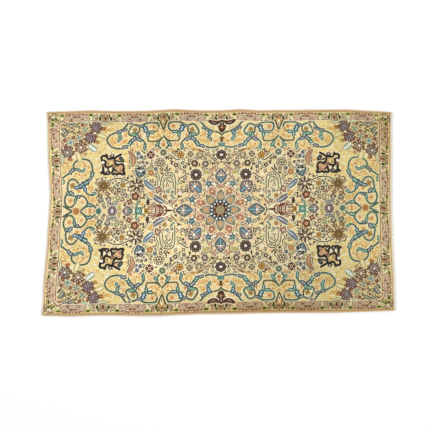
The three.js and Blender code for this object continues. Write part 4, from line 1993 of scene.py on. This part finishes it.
@dataclass(frozen=True)
class KnottedWool:
    """Dyed wool in rows of small knots, coloured by the knots' numbers on each face."""

    name: str
    relief: float
    # shading: how strongly the fleece noise varies the colour, as the tufts' own tone and as painted
    # shade in the pile's dips and painted light on its crests
    shading: float
    abrash: float = 0.22
    wear: float = 0.26
    roughness: float = 0.9
    fuzz: float = 0.12

    def material(self) -> bpy.types.Material:
        """Builds the material.

        Returns:
            The material.
        """
        shader = Shader(self.name)
        corner = shader.make("ShaderNodeUVMap", {"uv_map": "KnotMap"})
        across = [
            shader.make("ShaderNodeSeparateXYZ", None, {0: corner}, axis) * (CELL - 0.001)
            for axis in (0, 1)
        ]
        column, row = (place.floor() for place in across)
        packed: Value = 0.5
        for k in range(CELL):
            numbers = shader.attribute(f"Knots{k}", "Fac")
            chosen = row.below(k + 0.5) * (1 - row.below(k - 0.5))
            packed = numbers * chosen + packed
        power = column.power_of(float(PALETTE))
        number = ((packed / power).floor() % PALETTE + 0.5) / PALETTE
        stops = [(dye.number / PALETTE, dye.linear) for dye in Dye]
        dyed = shader.make("ShaderNodeValToRGB", {"stops": stops}, {0: number})
        colour = shader.tinted(dyed, 1.0, shader.attribute("Tone", "Color"))
        place = shader.place()
        streaks = {"Vector": place, "Scale": (9.0, 170.0, 1.0)}
        fleece = shader.noise(place, 420.0, 3.0)
        streaked = shader.noise(shader.make("ShaderNodeMapping", None, streaks), 1.0)
        worn = shader.noise(place, 6.5, 3.0)
        # Painted light and shade mixed with real tone: the fleece noise is the tufts' own tone and, as
        # it also raises the bump, paints the pile darker in its dips and lighter on its crests; the
        # streaks are abrash and the large patches wear.
        light = (fleece - 0.5) * self.shading + 1.0
        light = (streaked - 0.5) * self.abrash + (worn - 0.5) * self.wear + light
        colour = shader.tinted(colour, 1.0, shader.grey(light))
        dome = (across[0].fraction() * math.pi).sine() * (across[1].fraction() * math.pi).sine()
        height = dome * 0.7 + fleece * 0.6
        return shader.finish(colour, self.roughness, height, self.relief, self.fuzz)


@dataclass(frozen=True)
class SpunYarn:
    """Undyed or dyed yarn that shows as twisted strands, with painted shade in the grooves between them
    and painted light on their ridges.
    """

    name: str
    light: str
    dark: str
    strands: float
    relief: float
    roughness: float = 0.88
    fuzz: float = 0.15

    @staticmethod
    def linear(code: str) -> tuple[float, float, float, float]:
        """Turns an sRGB code into linear light."""
        parts = [(int(code[i : i + 2], 16) / 255) ** 2.2 for i in (0, 2, 4)]
        return (parts[0], parts[1], parts[2], 1.0)

    def material(self) -> bpy.types.Material:
        """Builds the material.

        Returns:
            The material.
        """
        shader = Shader(self.name)
        place = shader.place()
        blotches = shader.noise(place, 14.0, 4.0)
        fibres = shader.noise(place, self.strands, 4.0)
        twist = shader.make(
            "ShaderNodeTexWave",
            {"bands_direction": "DIAGONAL"},
            {"Vector": place, "Scale": self.strands, "Distortion": 4.0, "Detail": 2.0},
            "Fac",
        )
        mix = fibres * 0.5 + blotches * 0.5
        colour = shader.make(
            "ShaderNodeMix",
            {"data_type": "RGBA"},
            {0: mix, 6: self.linear(self.dark), 7: self.linear(self.light)},
            2,
        )
        # Painted shade and light: the twist wave that raises the bump also darkens the grooves between
        # the strands and lightens their ridges.
        colour = shader.tinted(colour, 1.0, shader.grey(twist * 0.3 + 0.78))
        height = (twist + fibres) * 0.6
        return shader.finish(colour, self.roughness, height, self.relief, self.fuzz)


@dataclass(frozen=True)
class Plaster:
    """The matt pale floor of the studio."""

    name: str = "pale_floor"

    def material(self) -> bpy.types.Material:
        """Builds the material.

        Returns:
            The material.
        """
        shader = Shader(self.name)
        grain = shader.noise(shader.place(), 60.0)
        return shader.finish(shader.grey(grain * 0.02 + 0.93), 0.8, grain, 0.0002, 0.0)


class Layer(Enum):
    """The two knotted faces of the body: its pile and its back."""

    PILE = 1
    BACK = -1


def solid_object(name: str, mesh: bpy.types.Mesh, material: bpy.types.Material) -> bpy.types.Object:
    """Puts a mesh in the scene as a finished piece.

    Args:
        name: The piece's name.
        mesh: Its mesh, with its place in it.
        material: Its material.

    Returns:
        The piece.
    """
    mesh.name = name
    mesh.materials.append(material)
    piece = bpy.data.objects.new(name, mesh)
    bpy.context.scene.collection.objects.link(piece)
    return piece


def made_mesh(bm: bmesh.types.BMesh, name: str) -> bpy.types.Mesh:
    """Turns an editable mesh into a finished one.

    Args:
        bm: The editable mesh, which is freed.
        name: The new mesh's name.

    Returns:
        The finished mesh.
    """
    mesh = bpy.data.meshes.new(name)
    bm.to_mesh(mesh)
    bm.free()
    return mesh


def smooth(mesh: bpy.types.Mesh) -> None:
    """Shades a mesh smoothly."""
    mesh.polygons.foreach_set("use_smooth", np.ones(len(mesh.polygons), bool))


def coordinates(mesh: bpy.types.Mesh) -> Array:
    """Reads a mesh's vertices as rows of x, y and z.

    Args:
        mesh: The mesh.

    Returns:
        The rows.
    """
    flat = np.empty(len(mesh.vertices) * 3, np.float32)
    mesh.vertices.foreach_get("co", flat)
    return flat.reshape(-1, 3).astype(float)


def move_to(mesh: bpy.types.Mesh, points: Array) -> None:
    """Moves a mesh's vertices to rows of x, y and z."""
    mesh.vertices.foreach_set("co", points.astype(np.float32).ravel())
    mesh.update()


class Shade(NamedTuple):
    """A soft patch that multiplies the colour by a tint, which makes it darker, lighter or warmer."""

    x: float
    y: float
    reach_x: float
    reach_y: float
    tint: tuple[float, float, float]


@dataclass
class KnottedLayer:
    """One half of the body's thickness: a slab whose outer face carries the knots."""

    plan: RugPlan
    layer: Layer
    low: float
    high: float
    blocks_along: int
    blocks_across: int
    rim_drop: float
    cuts: int = 3
    sharp_angle: float = 50.0
    shades: tuple[Shade, ...] = (
        Shade(1200, 0, 620, 1500, (0.90, 0.90, 0.84)),
        Shade(-1200, 0, 260, 1500, (1.06, 1.06, 1.06)),
        Shade(1000, 600, 320, 260, (0.92, 0.91, 0.86)),
        Shade(1165, 560, 50, 160, (0.90, 0.82, 0.68)),
        Shade(350, -670, 750, 60, (0.70, 0.62, 0.46)),
        Shade(620, -450, 480, 200, (0.82, 0.82, 0.80)),
        Shade(-440, -230, 330, 250, (1.16, 1.16, 1.17)),
        Shade(-520, 625, 560, 50, (0.85, 0.85, 0.82)),
        Shade(825, 0, 70, 260, (0.86, 0.84, 0.77)),
        Shade(-386, 630, 9, 60, (0.62, 0.52, 0.42)),
    )

    def slab(self) -> bpy.types.Mesh:
        """Makes the flat slab, with its outer face cut into small squares.

        Returns:
            The slab's mesh, its outer face at height 1 and its inner face at height 0.
        """
        bm = bmesh.new()
        half = Matrix.Diagonal((self.plan.length / 2, self.plan.half_body, 1.0, 1.0))
        bmesh.ops.create_grid(
            bm, x_segments=self.blocks_along, y_segments=self.blocks_across, size=1.0, matrix=half
        )
        made = bmesh.ops.extrude_face_region(bm, geom=bm.faces[:], use_keep_orig=True)
        raised = [v for v in made["geom"] if isinstance(v, bmesh.types.BMVert)]
        bmesh.ops.translate(bm, verts=raised, vec=(0.0, 0.0, 1.0))
        bmesh.ops.recalc_face_normals(bm, faces=bm.faces[:])
        outer = {edge for v in raised for edge in v.link_edges if all(e.co.z > 0.9 for e in edge.verts)}
        bmesh.ops.subdivide_edges(bm, edges=list(outer), cuts=self.cuts, use_grid_fill=True)
        return made_mesh(bm, "slab")

    def tone(self, x: Array, y: Array) -> Array:
        """Gives the tint of the soft patches at flat places.

        Args:
            x: Flat places along the rug.
            y: Flat places across it.

        Returns:
            Rows of red, green, blue and 1.
        """
        tint = np.ones((len(x), 4))
        for shade in self.shades:
            far = ((x - shade.x) / shade.reach_x) ** 2 + ((y - shade.y) / shade.reach_y) ** 2
            weight = np.exp(-far)[:, None]
            tint[:, :3] *= 1 + (np.array(shade.tint) - 1) * weight
        return tint

    def chart_onto(self, mesh: bpy.types.Mesh, knots: Array) -> None:
        """Stores on each face the dyes of its knots, and on each vertex its tint.

        Args:
            mesh: The flat slab.
            knots: A dye for each knot, in rows across the rug.
        """
        length, width = self.plan.length, 2 * self.plan.half_body
        faces_along = self.blocks_along * (self.cuts + 1)
        faces_across = self.blocks_across * (self.cuts + 1)
        centres = np.empty(len(mesh.polygons) * 3, np.float32)
        mesh.polygons.foreach_get("center", centres)
        centres = centres.reshape(-1, 3)
        i = np.clip((centres[:, 0] / length + 0.5) * faces_along, 0, faces_along - 0.01).astype(int)
        j = np.clip((centres[:, 1] / width + 0.5) * faces_across, 0, faces_across - 0.01).astype(int)
        rows, columns = knots.shape
        for k in range(CELL):
            row = ((j * CELL + k + 0.5) * rows / (faces_across * CELL)).astype(int)
            packed = np.zeros(len(i))
            for c in range(CELL):
                column = ((i * CELL + c + 0.5) * columns / (faces_along * CELL)).astype(int)
                packed += knots[row, column].astype(float) * float(PALETTE) ** c
            mesh.attributes.new(f"Knots{k}", "FLOAT", "FACE").data.foreach_set(
                "value", packed.astype(np.float32)
            )
        sides = np.empty(len(mesh.polygons), np.int32)
        mesh.polygons.foreach_get("loop_total", sides)
        corner_vertex = np.empty(len(mesh.loops), np.int32)
        mesh.loops.foreach_get("vertex_index", corner_vertex)
        points = coordinates(mesh)
        u = (points[corner_vertex, 0] / length + 0.5) * faces_along - np.repeat(i, sides)
        v = (points[corner_vertex, 1] / width + 0.5) * faces_across - np.repeat(j, sides)
        layer = mesh.uv_layers.new(name="KnotMap")
        layer.data.foreach_set("uv", np.clip(np.stack([u, v], 1), 0, 1).astype(np.float32).ravel())
        tone = mesh.attributes.new("Tone", "FLOAT_COLOR", "POINT")
        tone.data.foreach_set(
            "color", self.tone(points[:, 0], points[:, 1]).astype(np.float32).ravel()
        )

    def build(self, knots: Array, wool: KnottedWool) -> bpy.types.Object:
        """Builds the layer.

        Args:
            knots: A dye for each knot of the rug.
            wool: Its finish.

        Returns:
            The layer as a piece.
        """
        mesh = self.slab()
        self.chart_onto(mesh, knots)
        points = coordinates(mesh)
        outer = points[:, 2] > 0.5
        rim = (np.abs(points[:, 0]) > self.plan.length / 2 - 0.5) | (
            np.abs(points[:, 1]) > self.plan.half_body - 0.5
        )
        top = self.layer is Layer.PILE
        height = np.where(outer == top, self.high, self.low)
        height = height - np.where(outer & rim, self.rim_drop * self.layer.value, 0.0)
        move_to(mesh, self.plan.lay(np.stack([points[:, 0], points[:, 1], height], 1)))
        if not top:
            mesh.flip_normals()
        smooth(mesh)
        mesh.set_sharp_from_angle(angle=math.radians(self.sharp_angle))
        return solid_object(f"wool_{self.layer.name.lower()}", mesh, wool.material())


@dataclass
class Selvedge:
    """The overcast edge of one long side: wool wound round a bundle of warps."""

    plan: RugPlan
    side: int
    turn_pitch: float = 4.0
    cuts_per_turn: int = 4
    cuts_around: int = 10
    ridge: float = 0.07

    def build(self, yarn: SpunYarn) -> bpy.types.Object:
        """Builds the selvedge.

        Args:
            yarn: Its finish.

        Returns:
            The selvedge as a piece.
        """
        winds = self.plan.length / self.turn_pitch
        bm = bmesh.new()
        bmesh.ops.create_grid(
            bm, x_segments=int(winds * self.cuts_per_turn), y_segments=self.cuts_around, size=1.0
        )
        for vertex in bm.verts:
            along, around = vertex.co.x * winds * math.pi, (vertex.co.y + 1) * math.pi
            girth = 1 - self.ridge + self.ridge * math.cos(2 * along + around)
            vertex.co = (
                vertex.co.x * self.plan.length / 2,
                self.side * (self.plan.width - self.plan.selvedge_width) / 2
                + girth * self.plan.selvedge_width / 2 * math.cos(around),
                self.plan.selvedge_height / 2 * (1 + girth * math.sin(around)),
            )
        bmesh.ops.remove_doubles(bm, verts=bm.verts[:], dist=0.01)
        open_edges = [edge for edge in bm.edges if edge.is_boundary]
        bmesh.ops.holes_fill(bm, edges=open_edges, sides=0)
        bmesh.ops.recalc_face_normals(bm, faces=bm.faces[:])
        mesh = made_mesh(bm, "selvedge")
        flat = coordinates(mesh)
        middle = self.side * (self.plan.width - self.plan.selvedge_width) / 2
        across = flat[:, 1] - middle
        laid = self.plan.lay(np.stack([flat[:, 0], np.full(len(flat), middle), flat[:, 2]], 1))
        laid[:, 1] += across * MM
        move_to(mesh, laid)
        smooth(mesh)
        name = "selvedge_far_wool" if self.side > 0 else "selvedge_near_wool"
        return solid_object(name, mesh, yarn.material())


@dataclass
class Fringe:
    """One end of the rug: a flat-woven web and the knotted warp tassels beyond it."""

    plan: RugPlan
    side: int
    web_width: float
    tassel_length: float
    tassels: int
    seed: int
    thickness: float = 2.4
    knot_width: float = 7.4
    yarn_width: float = 1.5
    yarns: int = 5
    sway: float = 1.6
    uneven: float = 0.12
    knot_share: float = 0.33
    taper: float = 0.16
    strand_sides: int = 4
    kinds: int = 6

    def yarn(self, bm: bmesh.types.BMesh, path: Sequence[Point], width: float) -> None:
        """Adds one tapered yarn that follows a path and closes at its tip.

        Args:
            bm: Where it is added.
            path: Places out from the web and across it.
            width: Its width at the root.
        """
        rise = self.thickness / 2
        turn = Matrix.Rotation(math.pi / 2, 4, "Y")
        ring = bmesh.ops.create_circle(
            bm, cap_ends=True, segments=self.strand_sides, radius=width / 2,
            matrix=Matrix.Translation((path[0][0], path[0][1], rise)) @ turn,
        )["verts"]  # fmt: skip
        face = ring[0].link_faces[0]
        for k, (before, after) in enumerate(zip(path, path[1:])):
            made = bmesh.ops.extrude_face_region(bm, geom=[face])["geom"]
            face = next(part for part in made if isinstance(part, bmesh.types.BMFace))
            shrink = 1 - self.taper * (k + 1) / (len(path) - 1)
            bmesh.ops.translate(
                bm, verts=face.verts[:], vec=(after[0] - before[0], after[1] - before[1], 0)
            )
            bmesh.ops.scale(
                bm, verts=face.verts[:], vec=(1, shrink, shrink),
                space=Matrix.Translation((-after[0], -after[1], -rise)),
            )  # fmt: skip

    def tassel(self, rng: np.random.Generator) -> bpy.types.Mesh:
        """Makes one tassel: gathered roots, a knot, and loose ends.

        Args:
            rng: Where its small differences come from.

        Returns:
            Its mesh, which starts at the web and runs along x.
        """
        bm = bmesh.new()
        knot_at = self.knot_share * self.tassel_length
        for k in range(self.yarns):
            spread = (k - (self.yarns - 1) / 2) / (self.yarns - 1)
            reach = self.tassel_length * rng.uniform(0.88, 1.1)
            bend = rng.uniform(-0.5, 0.5)
            self.yarn(
                bm,
                [
                    (-0.6, spread * 4.4),
                    (knot_at, spread * 2.6),
                    ((knot_at + reach) / 2, spread * 4.2 + bend),
                    (reach, spread * 5.0 + 1.4 * bend),
                ],
                self.yarn_width,
            )
        bmesh.ops.create_uvsphere(
            bm, u_segments=7, v_segments=5, radius=1.0,
            matrix=Matrix.Translation((knot_at, 0, self.thickness / 2))
            @ Matrix.Diagonal((1.9, self.knot_width / 2, self.thickness / 2, 1)),
        )  # fmt: skip
        return made_mesh(bm, "tassel")

    def web(self, bm: bmesh.types.BMesh) -> None:
        """Adds the flat-woven web, as a slab with slightly rounded ribs along its length.

        Args:
            bm: Where it is added.
        """
        segments = int(self.plan.width / 4)
        centre = Matrix.Translation((self.web_width / 2, 0, 0))
        bmesh.ops.create_grid(
            bm, x_segments=5, y_segments=segments, size=1.0,
            matrix=centre @ Matrix.Diagonal((self.web_width / 2, self.plan.width / 2, 1, 1)),
        )  # fmt: skip
        made = bmesh.ops.extrude_face_region(bm, geom=bm.faces[:], use_keep_orig=True)["geom"]
        for part in made:
            if isinstance(part, bmesh.types.BMVert):
                rib = 0.75 + 0.25 * math.cos(part.co.x * 2.1) * math.cos(part.co.y * 0.8)
                part.co.z = self.thickness * rib * (0.8 if part.is_boundary else 1.0)

    def build(self, cotton: SpunYarn) -> bpy.types.Object:
        """Builds the fringe.

        Args:
            cotton: Its finish.

        Returns:
            The fringe as a piece.
        """
        rng = np.random.default_rng(self.seed)
        kinds = [self.tassel(rng) for _ in range(self.kinds)]
        bm = bmesh.new()
        self.web(bm)
        pitch = self.plan.width / self.tassels
        for i in range(self.tassels):
            first = len(bm.verts)
            bm.from_mesh(pick(rng, kinds))
            bm.verts.ensure_lookup_table()
            middle = -self.plan.width / 2 + (i + 0.5) * pitch
            sway = self.sway * math.sin(i * 2.4) * math.cos(i * 0.7)
            stretch = 1 + self.uneven * math.sin(i * 1.7)
            for vertex in bm.verts[first:]:
                share = vertex.co.x / self.tassel_length
                vertex.co.x = self.web_width + vertex.co.x * stretch
                vertex.co.y += middle + sway * share
        bmesh.ops.recalc_face_normals(bm, faces=bm.faces[:])
        mesh = made_mesh(bm, "fringe")
        for kind in kinds:
            bpy.data.meshes.remove(kind)
        flat = coordinates(mesh)
        edge = self.plan.lay(
            np.stack([np.full(len(flat), self.side * self.plan.length / 2), flat[:, 1], flat[:, 2]], 1)
        )
        edge[:, 0] += self.side * (flat[:, 0] + self.plan.seam_gap) * MM
        edge[:, 2] = flat[:, 2] * MM
        move_to(mesh, edge)
        if self.side < 0:
            mesh.flip_normals()
        name = "fringe_right_cotton" if self.side > 0 else "fringe_left_cotton"
        return solid_object(name, mesh, cotton.material())


@dataclass
class Rug:
    """The whole rug: pile, back, selvedges and fringes."""

    plan: RugPlan = field(default_factory=RugPlan)
    back_share: float = 3.0

    def build(self) -> list[bpy.types.Object]:
        """Builds the pieces, hides the imported parts that they stand in for, and hangs them under the
        root.

        Returns:
            The pieces.
        """
        knots = RugDesign().whole()
        plan = self.plan
        back = KnottedLayer(plan, Layer.BACK, 0.0, self.back_share, 80, 46, 0.4).build(
            knots, KnottedWool("woven_back_wool", 0.0003, 0.3)
        )
        pile = KnottedLayer(
            plan, Layer.PILE, self.back_share + 0.1, plan.body_thickness, 100, 57, 2.0
        ).build(knots, KnottedWool("knotted_pile_wool", 0.0012, 0.5))
        overcast = SpunYarn("overcast_wool_yarn", "e2c295", "c49e6c", 260.0, 0.0006)
        cotton = SpunYarn("cotton_warp_yarn", "efe6cf", "cdbf9f", 420.0, 0.0005)
        edges = [Selvedge(plan, side).build(overcast) for side in (1, -1)]
        ends = [
            Fringe(plan, -1, 9.0, 8.0, 94, 3).build(cotton),
            Fringe(plan, 1, 10.0, 14.0, 100, 4).build(cotton),
        ]
        for piece in (pile, back):
            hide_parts("pile_body")
        for piece, node in zip(edges, ("selvedge_far", "selvedge_near")):
            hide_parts(node)
        for piece, node in zip(ends, ("fringe_left", "fringe_right")):
            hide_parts(node)
        pieces = [pile, back, *edges, *ends]
        for piece in pieces:
            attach(piece, "root")
        return pieces


@dataclass
class Studio:
    """The photographer's pale floor, soft lights and camera."""

    floor_size: float = 14.0
    floor_drop: float = 0.0002
    camera_lens: float = 54.583
    sensor_width: float = 36.0
    camera_distance: float = 4.522
    camera_aim: Point = (-0.02826, -0.0321)
    camera_turns: tuple[float, float, float] = (-1.4985, 3.8326, -0.3163)
    sky_strength: float = 0.94

    def floor(self) -> bpy.types.Object:
        """Builds the floor.

        Returns:
            The floor.
        """
        bm = bmesh.new()
        bmesh.ops.create_grid(bm, x_segments=2, y_segments=2, size=self.floor_size / 2)
        bmesh.ops.translate(bm, verts=bm.verts[:], vec=(0, 0, -self.floor_drop))
        mesh = made_mesh(bm, "studio_floor")
        floor = solid_object("studio_floor", mesh, Plaster().material())
        return floor

    def lights(self) -> None:
        """Hangs two soft boxes and lights the room evenly."""
        for name, place, size, power in (
            ("key_softbox", (-1.6, 2.2, 3.4), 2.6, 34.0),
            ("fill_softbox", (2.4, -1.2, 3.6), 3.0, 14.0),
        ):
            lamp = bpy.data.lights.new(name, "AREA")
            lamp.size, lamp.energy = size, power
            holder = bpy.data.objects.new(name, lamp)
            holder.location = place
            holder.rotation_euler = (-Vector(place)).to_track_quat("-Z", "Y").to_euler()
            bpy.context.scene.collection.objects.link(holder)
        world = bpy.data.worlds.new("studio_room")
        world.use_nodes = True
        background = world.node_tree.nodes["Background"]
        background.inputs["Color"].default_value = (1.0, 1.0, 1.0, 1.0)
        background.inputs["Strength"].default_value = self.sky_strength
        bpy.context.scene.world = world

    def camera(self) -> None:
        """Stands the camera where the photograph was taken from."""
        lens = bpy.data.cameras.new("photo_camera")
        lens.lens, lens.sensor_width = self.camera_lens, self.sensor_width
        camera = bpy.data.objects.new("photo_camera", lens)
        turn_y, turn_x, turn_z = (math.radians(angle) for angle in self.camera_turns)
        turn = (
            Matrix.Rotation(turn_y, 4, "Y")
            @ Matrix.Rotation(turn_x, 4, "X")
            @ Matrix.Rotation(turn_z, 4, "Z")
        )
        away = turn @ Vector((0, 0, self.camera_distance))
        aim = Vector((*self.camera_aim, 0.0))
        camera.matrix_world = Matrix.Translation(aim + away) @ turn
        bpy.context.scene.collection.objects.link(camera)
        bpy.context.scene.camera = camera

    def build(self) -> None:
        """Sets up the studio."""
        self.floor()
        self.lights()
        self.camera()
        bpy.context.scene.view_settings.view_transform = "Standard"


def main() -> None:
    """Builds the studio and the rug."""
    logging.basicConfig(level=logging.INFO, format="%(name)s: %(message)s")
    Studio().build()
    for piece in Rug().build():
        LOG.info("%s has %d faces", piece.name, len(piece.data.polygons))


if __name__ == "__main__":
    main()
